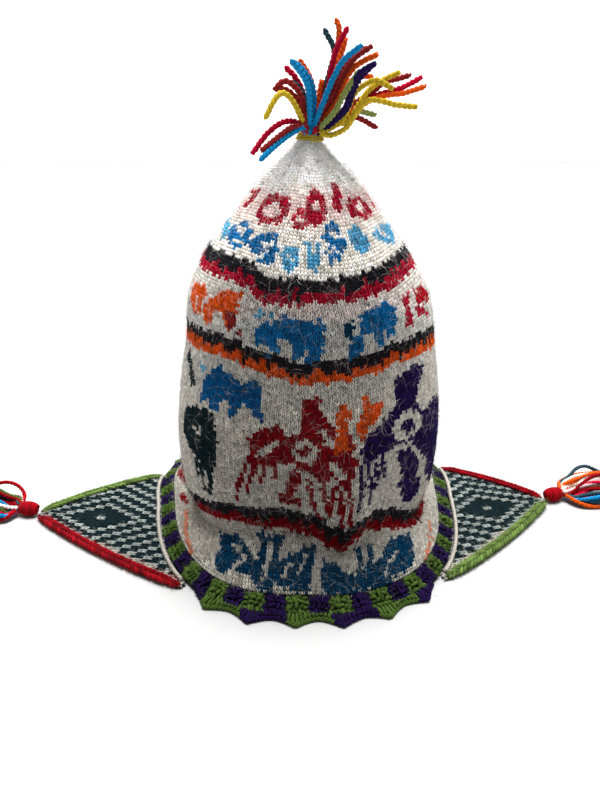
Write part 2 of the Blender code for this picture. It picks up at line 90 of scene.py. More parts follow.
class Graph:
    # the node tree of one material
    def __init__(self, name, roughness, sheen=0.0):
        self.material = bpy.data.materials.new(name)
        self.material.use_nodes = True
        self.tree = self.material.node_tree
        self.shader = self.tree.nodes["Principled BSDF"]
        self.shader.inputs["Roughness"].default_value = roughness
        self.shader.inputs["Sheen Weight"].default_value = sheen
        self.shader.inputs["Sheen Roughness"].default_value = wool["sheenRoughness"]
        self.shader.inputs["Specular IOR Level"].default_value = wool["shine"]

    def node(self, kind, settings=None, sockets=None, out=0):
        made = self.tree.nodes.new(kind)
        for key, value in (settings or {}).items():
            setattr(made, key, value)
        for key, value in (sockets or {}).items():
            if isinstance(value, Sum):
                self.tree.links.new(value.socket, made.inputs[key])
            else:
                made.inputs[key].default_value = value
        return Sum(self, made.outputs[out])

    def feed(self, name, value):
        self.tree.links.new(value.socket, self.shader.inputs[name])

    def noise(self, place, scale, detail=2.0):
        return self.node("ShaderNodeTexNoise", {}, {"Vector": place, "Scale": scale, "Detail": detail})

    def stretched(self, place, sizes):
        return self.node("ShaderNodeVectorMath", {"operation": "MULTIPLY"}, {0: place, 1: sizes})

    def tint(self, colour, amount):
        # the colour times a number that runs round 1
        grey = self.node("ShaderNodeCombineColor", {}, {0: amount, 1: amount, 2: amount})
        return self.node("ShaderNodeMix", {"data_type": "RGBA", "blend_type": "MULTIPLY"},
                         {0: 1.0, 6: colour, 7: grey}, out=2)

    def bump(self, height, strength, distance):
        sockets = {"Strength": strength, "Distance": distance, "Height": height}
        self.feed("Normal", self.node("ShaderNodeBump", {}, sockets))


def makeYarn(name, fibreScale, roughness=0.95, sheen=0.015):
    # spun fibre: the dye attribute, streaked along the strand's lay (cos, sin, length)
    graph = Graph(name, roughness, sheen)
    dye = graph.node("ShaderNodeAttribute", {"attribute_name": "dye"})
    lay = graph.node("ShaderNodeAttribute", {"attribute_name": "lay"}, out=1)
    place = graph.node("ShaderNodeTexCoord", out=3)
    fibre = graph.noise(graph.stretched(lay, fibreScale), 1.0, 3.0)
    fluff = graph.noise(place, wool["fluffScale"])
    cloud = graph.noise(place, wool["cloudScale"])
    amount = wool["plain"] + wool["fibre"] * fibre + wool["fluff"] * fluff + wool["cloud"] * cloud
    graph.feed("Base Color", graph.tint(dye, amount))
    graph.bump(fibre + 0.5 * fluff, wool["bump"], wool["bumpHeight"])
    return graph.material


knitYarn = makeYarn("knitYarn", (2.2, 2.2, 900.0))
strandYarn = makeYarn("strandYarn", (4.0, 4.0, 260.0), 0.9, 0.03)
fuzzYarn = makeYarn("fuzzYarn", (1.0, 1.0, 200.0), 0.9, 0.05)


# Meshes
class Heap:
    # closed bodies gathered into one mesh, each point with its dye and its place in the strand's lay
    def __init__(self):
        self.points, self.dye, self.lay, self.quads, self.tris, self.count = [], [], [], [], [], 0

    def add(self, points, dye, lay, quads, tris):
        flat = points.reshape(-1, 3)
        flat = np.concatenate([flat[:, :2], np.maximum(flat[:, 2:], 0)], -1)   # wool lies flat on the floor
        self.points.append(flat)
        self.dye.append(np.broadcast_to(dye, points.shape).reshape(-1, 3))
        self.lay.append(np.broadcast_to(lay, points.shape).reshape(-1, 3))
        for store, faces in ((self.quads, quads), (self.tris, tris)):
            if len(faces):
                store.append(faces.reshape(-1, faces.shape[-1]) + self.count)
        self.count += len(flat)

    def build(self, name, material, replaced=()):
        mesh = bpy.data.meshes.new(name)
        points = np.concatenate(self.points)
        groups = [np.concatenate(store) for store in (self.quads, self.tris) if store]
        corners = np.concatenate([group.ravel() for group in groups])
        sizes = np.concatenate([np.full(len(group), group.shape[1]) for group in groups])
        mesh.vertices.add(len(points))
        mesh.vertices.foreach_set("co", points.ravel().astype(np.float32))
        mesh.loops.add(len(corners))
        mesh.loops.foreach_set("vertex_index", corners.astype(np.int32))
        mesh.polygons.add(len(sizes))
        starts = np.concatenate([[0], np.cumsum(sizes)[:-1]])
        mesh.polygons.foreach_set("loop_start", starts.astype(np.int32))
        mesh.polygons.foreach_set("use_smooth", np.ones(len(sizes), bool))
        mesh.update(calc_edges=True)
        dye = mesh.attributes.new("dye", "FLOAT_COLOR", "POINT")
        full = np.concatenate([np.concatenate(self.dye), np.ones((len(points), 1))], axis=1)
        dye.data.foreach_set("color", full.ravel().astype(np.float32))
        lay = mesh.attributes.new("lay", "FLOAT_VECTOR", "POINT")
        lay.data.foreach_set("vector", np.concatenate(self.lay).ravel().astype(np.float32))
        mesh.validate()
        mesh.materials.append(material)
        piece = bpy.data.objects.new(name, mesh)
        bpy.context.scene.collection.objects.link(piece)
        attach(piece, "root")
        if replaced:
            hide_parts(*replaced)
        print(name, "triangles", int((sizes - 2).sum()))
        return piece


noQuads = np.empty((0, 4), int)


def ringFaces(rings, around, flipped=False, wraps=False):
    # quads between each ring and the next, and triangles from the first and last ring to the two poles that
    # follow their points; where the rings wrap, quads from the last ring to the first instead
    spot = np.arange(rings * around).reshape(rings, around)
    beside = np.roll(spot, -1, 1)
    above = np.roll(spot, -1, 0)
    quads = np.stack([spot, beside, np.roll(above, -1, 1), above], -1)
    pole = np.full(around, rings * around)
    tris = np.concatenate([np.stack([beside[0], spot[0], pole], -1),
                           np.stack([spot[-1], beside[-1], pole + 1], -1)])
    if wraps:
        tris = np.empty((0, 3), int)
    else:
        quads = quads[:-1]
    quads = quads.reshape(-1, 4)
    return (quads[:, ::-1], tris[:, ::-1]) if flipped else (quads, tris)


def poled(rings):
    # the rings' points, then the middles of the first and the last ring
    return np.concatenate([rings.reshape(-1, 3), rings[:1].mean(1), rings[-1:].mean(1)])


def raised(plan, height):
    # points of a plan at their heights
    return np.concatenate([plan, np.broadcast_to(height, plan.shape[:-1])[..., None]], -1)


def unit(vectors):
    return vectors / np.maximum(np.linalg.norm(vectors, axis=-1, keepdims=True), 1e-12)


def arcLength(paths):
    steps = np.linalg.norm(np.diff(paths, axis=-2), axis=-1)
    return np.concatenate([np.zeros_like(steps[..., :1]), np.cumsum(steps, axis=-1)], axis=-1)


def carried(paths):
    # side and up vectors carried along each path: the last side, less its part along the path
    way = unit(np.gradient(paths, axis=-2))
    first = np.where(np.abs(way[..., 0, 2:]) > 0.9, (1.0, 0, 0), (0, 0, 1.0))
    sides = [unit(np.cross(way[..., 0, :], first))]
    for i in range(1, paths.shape[-2]):
        along = way[..., i, :]
        last = sides[-1]
        sides.append(unit(last - along * (last * along).sum(-1, keepdims=True)))
    side = np.stack(sides, axis=-2)
    return way, side, np.cross(side, way)


def tubes(heap, paths, radii, dye, sides=6, flat=1.0):
    # rings of sides points round each path, radius by station, closed by a pole at each end
    paths = np.asarray(paths, float)
    many, stations = paths.shape[:2]
    way, side, up = carried(paths)
    angle = np.arange(sides) * 2 * math.pi / sides
    radii = np.broadcast_to(radii, (many, stations))[..., None, None]
    around = side[:, :, None] * np.cos(angle)[:, None] + flat * up[:, :, None] * np.sin(angle)[:, None]
    rings = (paths[:, :, None] + around * radii).reshape(many, -1, 3)
    points = np.concatenate([rings, paths[:, :1], paths[:, -1:]], axis=1)
    along = np.repeat(arcLength(paths), sides, axis=1)
    turns = [np.tile(wave(angle), (many, stations)) for wave in (np.cos, np.sin)]
    ends = np.zeros((many, 2, 3))
    ends[..., 2] = along[:, (0, -1)]
    lay = np.concatenate([np.stack([*turns, along], -1), ends], axis=1)
    quads, tris = ringFaces(stations, sides, True)
    shift = (np.arange(many) * (stations * sides + 2))[:, None, None]
    dye = np.broadcast_to(dye, (many, 3))[:, None, :] if np.ndim(dye) < 3 else dye
    heap.add(points, dye, lay, quads[None] + shift, tris[None] + shift)


def twisted(path, coil, pitch, start=0.0):
    # two plies: each the strand's own path plus a circle of radius coil, turning once in each pitch
    way, side, up = carried(path)
    turned = arcLength(path)[..., None] * 2 * math.pi / pitch + start
    coil = np.broadcast_to(coil, path.shape[:-1])[..., None]
    return [(path + coil * (np.cos(angle) * side + np.sin(angle) * up))[None]
            for angle in (turned, turned + math.pi)]


def curveThrough(points, count):
    # Catmull-Rom curve through the points
    points = np.array(points, float)
    ends = np.vstack([2 * points[0] - points[1], points, 2 * points[-1] - points[-2]])
    at = np.linspace(0, len(points) - 1, count)
    i = np.minimum(at.astype(int), len(points) - 2)
    t = (at - i)[:, None]
    a, b, c, d = ends[i], ends[i + 1], ends[i + 2], ends[i + 3]
    bend = (2 * a - 5 * b + 4 * c - d) * t ** 2 + (3 * b - a - 3 * c + d) * t ** 3
    return (2 * b + (c - a) * t + bend) / 2


def evenly(path, count):
    # the same path with its stations an equal length apart
    along = arcLength(path)
    at = np.linspace(0, along[-1], count)
    return np.stack([np.interp(at, along, path[:, i]) for i in range(3)], -1)


# Crown
crown = {
    "place": -0.0078, "height": 0.257, "lift": 0.0100, "halfWidth": 0.0870, "front": 0.0800, "back": 0.0870,
    "wall": 0.0025, "splay": 0.125, "frontCorner": 0.80, "draw": 0.25, "ridgeTurn": math.radians(14),
    "ridgeSpread": math.radians(13), "ridgePush": 0.0045, "ridgeDroop": 0.0125, "pleats": 9, "pleat": 0.0016,
    "columns": 228, "rows": 141, "under": 0.0006,
}
# the crown's sections from the rim to the tip, as shares of the sizes above
crownNames = ("knit", "sideRise", "frontRise", "halfWidth", "lean", "front", "back", "shift", "corner",
              "splay", "draw", "ridge", "droop", "pleat")
crownRows = np.array((
    (0.000, 0.000, 0.000, 1.130, 0.000, 1.175, 1.270, 0.340, 0.12, 1.00, 1.00, 0.30, 0.00, 0.0),
    (0.060, 0.019, 0.062, 1.030, 0.000, 1.065, 1.130, 0.240, 0.10, 0.95, 0.85, 0.35, 0.25, 0.0),
    (0.125, 0.046, 0.136, 0.915, 0.000, 0.950, 0.980, 0.110, 0.05, 0.70, 0.60, 0.70, 1.00, 0.0),
    (0.170, 0.074, 0.180, 0.935, 0.000, 0.955, 0.975, 0.060, 0.02, 0.50, 0.40, 0.90, 1.00, 0.0),
    (0.220, 0.125, 0.222, 0.985, 0.000, 0.990, 0.990, 0.040, 0.00, 0.30, 0.20, 1.00, 0.60, 0.0),
    (0.330, 0.253, 0.292, 1.005, 0.000, 1.000, 1.000, 0.020, 0.00, 0.10, 0.00, 0.80, 0.25, 0.0),
    (0.420, 0.370, 0.385, 0.982, 0.004, 0.975, 0.978, 0.000, 0.00, 0.00, 0.00, 0.40, 0.10, 0.0),
    (0.520, 0.523, 0.523, 0.920, 0.004, 0.900, 0.920, 0.000, 0.00, 0.00, 0.00, 0.10, 0.00, 0.0),
    (0.600, 0.624, 0.618, 0.878, 0.000, 0.870, 0.868, 0.000, 0.00, 0.00, 0.00, 0.00, 0.00, 0.0),
    (0.690, 0.720, 0.705, 0.748, -0.018, 0.805, 0.758, 0.000, 0.00, 0.00, 0.00, 0.00, 0.00, 0.1),
    (0.770, 0.788, 0.782, 0.600, -0.022, 0.675, 0.632, 0.000, 0.00, 0.00, 0.00, 0.00, 0.00, 0.3),
    (0.850, 0.850, 0.850, 0.446, -0.014, 0.515, 0.494, 0.000, 0.00, 0.00, 0.00, 0.00, 0.00, 0.7),
    (0.920, 0.909, 0.909, 0.300, -0.014, 0.340, 0.313, 0.000, 0.00, 0.00, 0.00, 0.00, 0.00, 1.0),
    (0.965, 0.952, 0.952, 0.172, -0.012, 0.186, 0.172, 0.000, 0.00, 0.00, 0.00, 0.00, 0.00, 0.6),
    (0.988, 0.979, 0.979, 0.098, -0.006, 0.106, 0.098, 0.000, 0.00, 0.00, 0.00, 0.00, 0.00, 0.2),
    (1.000, 1.000, 1.000, 0.055, 0.000, 0.060, 0.055, 0.000, 0.00, 0.00, 0.00, 0.00, 0.00, 0.0),
))
# dents: turn, knit, how far round and up they spread, depth as a share of the half width
dentRows = (
    (-0.45, 0.30, 0.32, 0.10, 0.035), (0.85, 0.27, 0.28, 0.11, 0.035), (-1.35, 0.53, 0.40, 0.06, 0.018),
    (-0.95, 0.70, 0.30, 0.05, -0.018), (1.00, 0.66, 0.40, 0.06, 0.015), (2.55, 0.36, 0.40, 0.12, 0.040),
    (-2.60, 0.48, 0.38, 0.13, 0.035), (3.14, 0.24, 0.25, 0.08, -0.025),
)


def crownColumn(name, at):
    # a column of the table as a smooth curve: Hermite pieces whose slopes are the mean rise, 0 at turns
    share = crownRows[:, 0]
    value = crownRows[:, crownNames.index(name)]
    step = np.diff(share)
    rise = np.diff(value) / step
    slope = np.zeros(len(share))
    sameWay = rise[:-1] * rise[1:] > 0
    slope[1:-1] = np.where(sameWay, 2 * rise[:-1] * rise[1:] / np.where(sameWay, rise[:-1] + rise[1:], 1), 0)
    slope[0], slope[-1] = rise[0], rise[-1]
    at = np.clip(at, share[0], share[-1])
    i = np.clip(np.searchsorted(share, at, side="right") - 1, 0, len(step) - 1)
    t = (at - share[i]) / step[i]
    start = value[i] * (1 + 2 * t) * (1 - t) ** 2 + slope[i] * step[i] * t * (1 - t) ** 2
    return start + value[i + 1] * t * t * (3 - 2 * t) + slope[i + 1] * step[i] * t * t * (t - 1)


def turnBetween(turn, other):
    return np.angle(np.exp(1j * (turn - other)))


def crownSurface(turn, knit):
    # ovals stacked along the knit: x is the half width times the sine of the turn, y the depth times its
    # cosine, z the rise, with corners, pleats, a front ridge and dents moving each oval out or in
    turn, knit = np.broadcast_arrays(np.asarray(turn, float), np.asarray(knit, float))
    c = crown
    at = {name: crownColumn(name, knit) for name in crownNames[1:]}
    drawn = turn - c["draw"] * at["draw"] * np.sin(turn)
    sine, cosine = np.sin(drawn), np.cos(drawn)
    ridge = np.exp(-(turnBetween(turn, c["ridgeTurn"]) / c["ridgeSpread"]) ** 2)
    z = c["lift"] + c["height"] * (at["sideRise"] + (at["frontRise"] - at["sideRise"]) * cosine ** 2)
    z = z - c["ridgeDroop"] * at["droop"] * ridge
    shift = c["halfWidth"] * at["shift"]
    deep = np.where(cosine > 0, c["front"] * at["front"] + shift, c["back"] * at["back"] - shift)
    corner = 1 + at["corner"] * np.where(cosine > 0, c["frontCorner"], 1) * (2 * sine * cosine) ** 2
    x = c["halfWidth"] * at["halfWidth"]
    x = x * (1 - c["splay"] * at["splay"] * cosine) * sine * corner
    y = -deep * cosine * corner
    out = c["ridgePush"] * at["ridge"] * ridge + c["pleat"] * at["pleat"] * np.cos(c["pleats"] * turn)
    for dentTurn, dentKnit, turnSpread, knitSpread, depth in dentRows:
        away = (turnBetween(turn, dentTurn) / turnSpread) ** 2 + ((knit - dentKnit) / knitSpread) ** 2
        out = out - c["halfWidth"] * depth * np.exp(-away)
    grown = 1 + out / np.hypot(x, y)
    lean = c["halfWidth"] * at["lean"]
    return np.stack([x * grown + lean, y * grown + shift + c["place"], z], axis=-1)


def crownNormal(turn, knit):
    # cross product of the steps round and up
    turn, knit = np.broadcast_arrays(np.asarray(turn, float), np.asarray(knit, float))
    step = 1e-4
    across = crownSurface(turn + step, knit) - crownSurface(turn - step, knit)
    up = crownSurface(turn, np.clip(knit + step, 0, 1)) - crownSurface(turn, np.clip(knit - step, 0, 1))
    return unit(np.cross(across, up))


def rimCurve(turn, out):
    # the rim's plan moved square to itself by out, one distance or one for each turn
    turn = np.asarray(turn, float)
    step = 1e-4
    ahead = crownSurface(turn + step, 0.0)[..., :2] - crownSurface(turn - step, 0.0)[..., :2]
    normal = unit(np.stack([ahead[..., 1], -ahead[..., 0]], axis=-1))
    return crownSurface(turn, 0.0)[..., :2] + normal * np.asarray(out, float)[..., None]


evenKnit = np.linspace(0, 1, 801)
evenLength = np.mean([arcLength(crownSurface(side, evenKnit)) for side in
                      (0, 0.5, -0.5, 1.0, -1.0, 1.57, -1.57, 2.4, -2.4, 3.14)], axis=0)
evenRow = evenLength / evenLength[-1] * crown["rows"]


def knitAt(row):
    # the rows are equally high: a row's knit is where the mean length from the rim is its share of the whole
    return np.interp(row, evenRow, evenKnit)


# The knitted chart
# Stripes: the dye and height in rows of the lower and upper half, and the lower edge as column, row
stripes = (
    (("darkRed", 2.9), ("charcoal", 4.2),
     ((-114, 17), (-60, 18.5), (-44, 19.5), (-31, 19.5), (-17, 18), (-5, 15.5), (6, 15.5), (16, 17), (33, 14),
      (45, 11), (57, 9.5), (75, 13), (100, 16), (114, 17))),
    (("orange", 2.8), ("charcoal", 3.4),
     ((-114, 71), (-45, 72), (-24, 73), (-12, 70), (-1, 68), (10, 69), (24, 71.5), (48, 70), (114, 71))),
    (("crimson", 3.1), ("charcoal", 3.9),
     ((-114, 93.5), (-46, 94.3), (-26, 94.6), (-21.5, 94.2), (-16.5, 91.1), (0, 90.7), (14, 91.2), (46, 93.5),
      (114, 93.5))),
)


def insideArea(corners, u, v):
    # even number of edges to the right means outside
    inside = np.zeros(u.shape, bool)
    for (ax, ay), (bx, by) in zip(corners, corners[1:] + corners[:1]):
        if ay != by:
            inside ^= ((ay > v) != (by > v)) & (u < (bx - ax) * (v - ay) / (by - ay) + ax)
    return inside


def nearLine(points, half, u, v):
    # closer than half to one of the pieces of the line, in stitches of the knit at that height
    near = np.zeros(u.shape, bool)
    narrow = np.interp(points[0][1], (84, 134), (1, 0.3))
    for (ax, ay), (bx, by) in zip(points, points[1:]):
        dx, dy = (bx - ax) * narrow, by - ay
        x, y = (u - ax) * narrow, v - ay
        t = np.clip((x * dx + y * dy) / (dx * dx + dy * dy), 0, 1)
        near |= np.hypot(x - t * dx, y - t * dy) < half
    return near


def drawShape(kind, data, u, v):
    if kind == "area":
        return insideArea(data, u, v)
    if kind == "line":
        return nearLine(data[1:], data[0], u, v)
    x, y, wide, high = data[:4]
    reach = np.hypot((u - x) / wide, (v - y) / high)
    if kind == "ring":
        return (reach < 1) & (reach > data[4])
    return reach < 1


# Kind, dye and place of each figure, in columns from the front and rows from the rim. An area gives its
# corners, a line its half width and its points, and a ring its middle, half width, half height and its
# hole's share. Later ones cover earlier ones, and bare is the undyed ground again
shapes = (
    ("line", "crimson", (0.8, (-53, 122), (-43.5, 119.5), (-46.5, 115.5))),
    ("ring", "crimson", (-22.5, 117, 10, 5, 0.5)),
    ("ring", "crimson", (-6, 114.5, 3.5, 3.5, 0.36)),
    ("ring", "crimson", (2.5, 118.5, 6, 6, 0.36)),
    ("line", "crimson", (0.8, (18, 124.5), (14, 117))),
    ("line", "crimson", (0.7, (19.5, 122.5), (16.5, 117))),
    ("ring", "crimson", (31.5, 116.5, 11, 4, 0.42)),
    ("line", "crimson", (0.7, (52, 120), (47.5, 115))),
    ("area", "sky", ((-55.5, 111.5), (-43.5, 108), (-43, 103.5), (-47.5, 106), (-57, 108.5))),
    ("area", "blue", ((-44.5, 108), (-42.5, 110), (-36, 111), (-27.5, 109.5), (-26.5, 106.5), (-28, 104.5),
        (-33, 103.5), (-40.5, 105))),
    ("line", "bare", (0.6, (-40, 109), (-32, 108))),
    ("line", "bare", (0.6, (-35.5, 105.5), (-30, 105.5))),
    ("area", "blue", ((-26.5, 106.5), (-23, 109.5), (-14.5, 110.5), (-15, 108), (-13, 105.5), (-13.5, 102),
        (-17, 100.5), (-21, 102), (-24.5, 104))),
    ("line", "bare", (0.6, (-20.5, 107.5), (-16, 106.5))),
    ("line", "bare", (0.6, (-21.5, 104), (-17.5, 104.5))),
    ("area", "sky", ((-12, 104.5), (-9.5, 107), (-5, 107), (-4.5, 102.5), (-8, 99.5), (-10.5, 101.5))),
    ("line", "bare", (0.5, (-9.5, 105), (-7.5, 103.5))),
    ("area", "sky", ((-3, 108), (3.5, 108), (3, 105), (2, 100), (-0.5, 100), (-2.5, 102.5), (-2, 105.5))),
    ("line", "bare", (0.5, (0, 107), (0, 104.5))),
    ("area", "blue", ((5.5, 112.5), (11, 113), (13.5, 110.5), (14, 106.5), (10, 102.5), (6.5, 101.5),
        (5, 105), (7, 107), (4.5, 109))),
    ("line", "bare", (0.6, (8, 110.5), (11.5, 108.5))),
    ("line", "bare", (0.6, (7, 105), (10.5, 105))),
    ("area", "sky", ((16, 109.5), (20, 111.5), (23.5, 109), (25, 105.5), (21.5, 103.5), (18.5, 103.5),
        (17.5, 106.5))),
    ("area", "sky", ((29, 108), (42.5, 109.5), (53, 107.5), (44.5, 103), (36.5, 104), (32, 105.5))),
    ("line", "bare", (0.6, (36, 108), (40.5, 105.5))),
    ("area", "orange", ((-50.5, 88.5), (-38, 91.5), (-36.5, 88.5), (-38.5, 86), (-38, 82.5), (-44, 81.5))),
    ("line", "bare", (0.6, (-42.5, 87), (-41.5, 83.5))),
    ("area", "orange", ((-37.5, 85.5), (-33.5, 89), (-28.5, 91), (-22, 92.5), (-22, 90), (-23, 89.5),
        (-23, 86), (-22.5, 82), (-26, 81), (-27.5, 83.5), (-28.5, 85.5), (-31.5, 84.5), (-32, 81.5),
        (-35, 80.5), (-37, 83.5))),
    ("area", "rust", ((-27.5, 85.5), (-23, 86.5), (-23, 82), (-25.5, 81.5))),
    ("ring", "rust", (-21.5, 80.5, 1, 1, 0)),
    ("line", "sky", (0.9, (-16.5, 87), (-13, 88))),
    ("area", "blue", ((-17, 82.5), (-14, 85), (-9, 87.5), (-4.5, 86.5), (-1, 85.5), (2.5, 86), (2, 81.5),
        (1.5, 79), (1, 74.5), (-3, 74), (-3, 79), (-4.5, 76), (-6.5, 75.5), (-6.5, 80), (-8.5, 81.5),
        (-10.5, 80.5), (-10, 77), (-13, 76.5), (-13, 79.5), (-14.5, 78.5), (-17, 78.5))),
    ("area", "petrol", ((7, 84.5), (10, 86), (10, 81), (7, 81))),
    ("area", "blue", ((12.5, 87), (16.5, 88), (22, 89), (25, 88), (23, 79), (20, 79.5), (19.5, 82.5),
        (18, 77), (16.5, 77.5), (16, 82), (13.5, 82), (12, 77), (10.5, 73.5), (8, 75), (8, 79.5),
        (11.5, 81.5))),
    ("area", "red", ((37.5, 88.5), (45, 89), (49.5, 85), (44, 83), (35.5, 85.5))),
    ("area", "crimson", ((29.5, 88.5), (35, 88.5), (30.5, 85), (32, 83), (30.5, 80), (27, 81))),
    ("line", "crimson", (0.8, (33.5, 84.5), (42, 80.5))),
    ("line", "crimson", (0.8, (36.5, 85), (34.5, 82))),
    ("ring", "sky", (-35, 68, 2, 1, 0)),
    ("area", "deepBlue", ((-34.5, 63.5), (-33, 66.5), (-27.5, 70), (-23.5, 68.5), (-22, 67), (-15, 68),
        (-14.5, 65), (-14.5, 60), (-13.5, 56), (-15.5, 57), (-17.5, 59), (-19.5, 61), (-22, 56), (-24, 56),
        (-23.5, 61), (-26, 61), (-28, 56.5), (-31.5, 56.5), (-30.5, 60), (-35, 58))),
    ("area", "forest", ((-43.5, 53), (-38, 56), (-32.5, 57), (-29, 54.5), (-27.5, 49.5), (-28, 42.5),
        (-29, 38), (-31.5, 29.5), (-34, 29), (-31.5, 36.5), (-34, 39), (-36.5, 41), (-41, 42.5),
        (-44.5, 45.5), (-45, 49.5))),
    ("line", "bare", (0.7, (-38, 49.5), (-35.5, 48.5), (-34, 50.5))),
    ("line", "forest", (0.8, (-36.5, 40), (-36.5, 34.5))),
    ("line", "forest", (0.8, (-34, 39), (-35, 30.5))),
    ("line", "forest", (1.6, (-46.5, 68.5), (-40, 62.5))),
    ("area", "darkRed", ((-17.5, 51.5), (-15.5, 53.5), (-11.5, 55.5), (-8.5, 55), (-7.5, 52), (-6, 53),
        (-4, 54), (-3.5, 59), (-4, 64), (-2, 64.5), (0.5, 63.5), (0.5, 60), (4, 56), (4.5, 53), (3, 51.5),
        (1, 56), (0, 54.5), (1.5, 51), (2, 49.5), (5, 49), (7.5, 48.5), (9.5, 45.5), (9.5, 42.5), (8.5, 40),
        (8, 36), (6.5, 35.5), (4, 41), (1.5, 35.5), (0, 38.5), (-1.5, 41), (-4, 41.5), (-5.5, 43),
        (-8.5, 43), (-11.5, 42), (-13.5, 42.5), (-15.5, 41.5), (-18.5, 41.5), (-18, 44.5), (-17.5, 49))),
    ("line", "bare", (1, (-15, 46), (-10.5, 50))),
    ("ring", "bare", (-3, 48, 3, 4, 0.5)),
    ("line", "bare", (1, (3.5, 44), (6, 40))),
    ("line", "darkRed", (0.68, (-18.5, 41.5), (-20.5, 36), (-23, 29.5))),
    ("line", "darkRed", (0.68, (-16, 42), (-19.5, 30.5))),
    ("line", "darkRed", (0.68, (-13.5, 41.5), (-15, 34.5))),
    ("line", "darkRed", (0.68, (-10.5, 42), (-11.5, 37.5))),
    ("line", "darkRed", (0.68, (-2, 38), (-1, 28), (1.5, 21))),
    ("line", "darkRed", (0.68, (1.5, 35.5), (3, 26))),
    ("line", "darkRed", (0.68, (4, 36.5), (4, 26))),
    ("line", "darkRed", (0.68, (6, 35.5), (7, 24))),
    ("line", "darkRed", (0.68, (8, 37), (9.5, 24.5))),
    ("area", "darkRed", ((-6.5, 41), (-4, 41.5), (-5, 34), (-7, 25.5), (-11, 26.5), (-10.5, 29.5),
        (-8.5, 30.5), (-7.5, 35.5))),
    ("ring", "darkRed", (-5, 27.5, 1, 2, 0)),
    ("line", "orange", (1.1, (6, 61), (6, 55.5), (5, 48.5))),
    ("area", "orange", ((5, 61.5), (8.5, 60.5), (8.5, 58), (6, 57.5))),
    ("area", "orange", ((4.5, 50), (5.5, 53), (8.5, 53), (9.5, 49.5), (8, 48), (5, 48.5))),
    ("area", "rust", ((7, 52), (8.5, 53), (9, 49.5), (7.5, 49))),
    ("area", "orange", ((14, 61), (18, 61.5), (16.5, 58), (13, 53.5), (10.5, 50), (9.5, 53), (10.5, 58))),
    ("line", "orange", (0.8, (12.5, 63), (13, 60))),
    ("area", "purple", ((21.5, 65.5), (23.5, 67.5), (30, 69.5), (35.5, 66.5), (31.5, 62.5), (30, 60),
        (31, 55), (35, 54), (39, 56), (48, 53.5), (49, 45.5), (49, 43), (49, 38), (49, 33), (39, 35),
        (31.5, 42.5), (28.5, 45), (22, 47), (20, 44.5), (16, 45.5), (13, 43), (10.5, 43.5), (11, 49.5),
        (15, 53.5), (18.5, 56), (21.5, 58.5))),
    ("ring", "bare", (26, 51.5, 6, 4.5, 0.48)),
    ("line", "purple", (0.68, (10.5, 43.5), (11.5, 28))),
    ("line", "purple", (0.68, (12.5, 43), (14.5, 29))),
    ("line", "purple", (0.68, (15, 42), (15.5, 34))),
    ("line", "purple", (0.68, (17, 44.5), (17.5, 36))),
    ("area", "purple", ((22, 44.5), (28.5, 43.5), (34.5, 35.5), (34, 33.5), (39, 28), (36.5, 24.5),
        (31.5, 23.5), (27.5, 29.5), (25, 30.5), (26.5, 34.5), (23.5, 38.5))),
    ("area", "purple", ((39, 35), (49, 34), (54, 26), (44.5, 28.5), (38.5, 33.5))),
    ("area", "petrol", ((-36.5, 14), (-29, 15), (-25, 12.5), (-20, 7.5), (-21.5, 5.5), (-25.5, 4.5),
        (-33, 2), (-34, 5.5), (-33.5, 9.5))),
    ("line", "bare", (0.6, (-30, 12), (-24, 8.5), (-27.5, 5))),
    ("line", "petrol", (1.15, (-19, 15.5), (-19.5, 2.5))),
    ("line", "petrol", (1.25, (-14, 14.5), (-16, 1.5))),
    ("line", "petrol", (0.9, (-20, 15.5), (-12, 14.5))),
    ("area", "petrol", ((-23, 5.5), (-20, 5), (-14.5, 4.5), (-15, 1), (-19.5, 2))),
    ("area", "petrol", ((-15, 7.5), (-7.5, 11), (0, 14), (-1.5, 6.5), (-3, 0), (-11.5, 1.5), (-15, 3.5))),
    ("line", "bare", (0.6, (-8.5, 8), (-11.5, 4.5))),
    ("line", "bare", (0.5, (-4, 10), (-6, 5.5))),
    ("area", "petrol", ((2, 11), (6, 9.5), (12.5, 5.5), (11, 0), (1.5, 0))),
    ("line", "petrol", (1.1, (15, 13.5), (15.5, 1))),
    ("line", "petrol", (1.1, (19, 12), (19, 0.5))),
    ("area", "petrol", ((20.5, 6.5), (28, 12), (37, 11.5), (34, 2), (21, 0), (12, 0), (12, 5))),
    ("line", "bare", (0.6, (28.5, 7.5), (23.5, 3.5))),
)
# figures at the sides of the rim, drawn once
sideShapes = (
    ("line", "apricot", (0.8, (49, 5.5), (37.5, 0))),
    ("line", "darkRed", (2.2, (-63, 19), (-53, 33.5))),
    ("line", "darkRed", (2.4, (-79, 3), (-69, 13))),
    ("line", "darkRed", (1.6, (-65, 5), (-61, 8))),
    ("line", "apricot", (1.1, (-56, 7.5), (-43.5, 0.5))),
)

# the undyed ground by row, with painted light and shade: darker down the sides towards the rim, where less
# light falls, and washed out to near white by the light near the tip
ground = ((0, "lower"), (28, "ground"), (62, "ground"), (84, "upper"), (100, "cream"), (114, "cream"),
          (128, "tip"))
# two bands of rows blushed by the dyes beside them: the row, its spread and how much pink
blush = ((118, 6, 0.55), (88, 3, 0.25))
# how far a figure's edge wavers, in columns and rows
waver = {"across": 0.18, "up": 0.45, "stripe": 0.4, "between": 0.6}
# rows that bend with the stripes: their number, how much of the stripe's bend they take, and its path
straight = ((-114, 0), (114, 0))
bent = (
    (0, 0.0, straight), (17, 0.75, stripes[0][2]), (71, 1.0, stripes[1][2]),
    (93.5, 1.0, ((-114, 93.5), (-46, 94.5), (-24, 94.8), (0, 91.4), (14, 91.2), (46, 93.5), (114, 93.5))),
    (crown["rows"], 0.0, straight),
)


def columnAt(turn):
    return turnBetween(turn, 0) / (2 * math.pi) * crown["columns"]


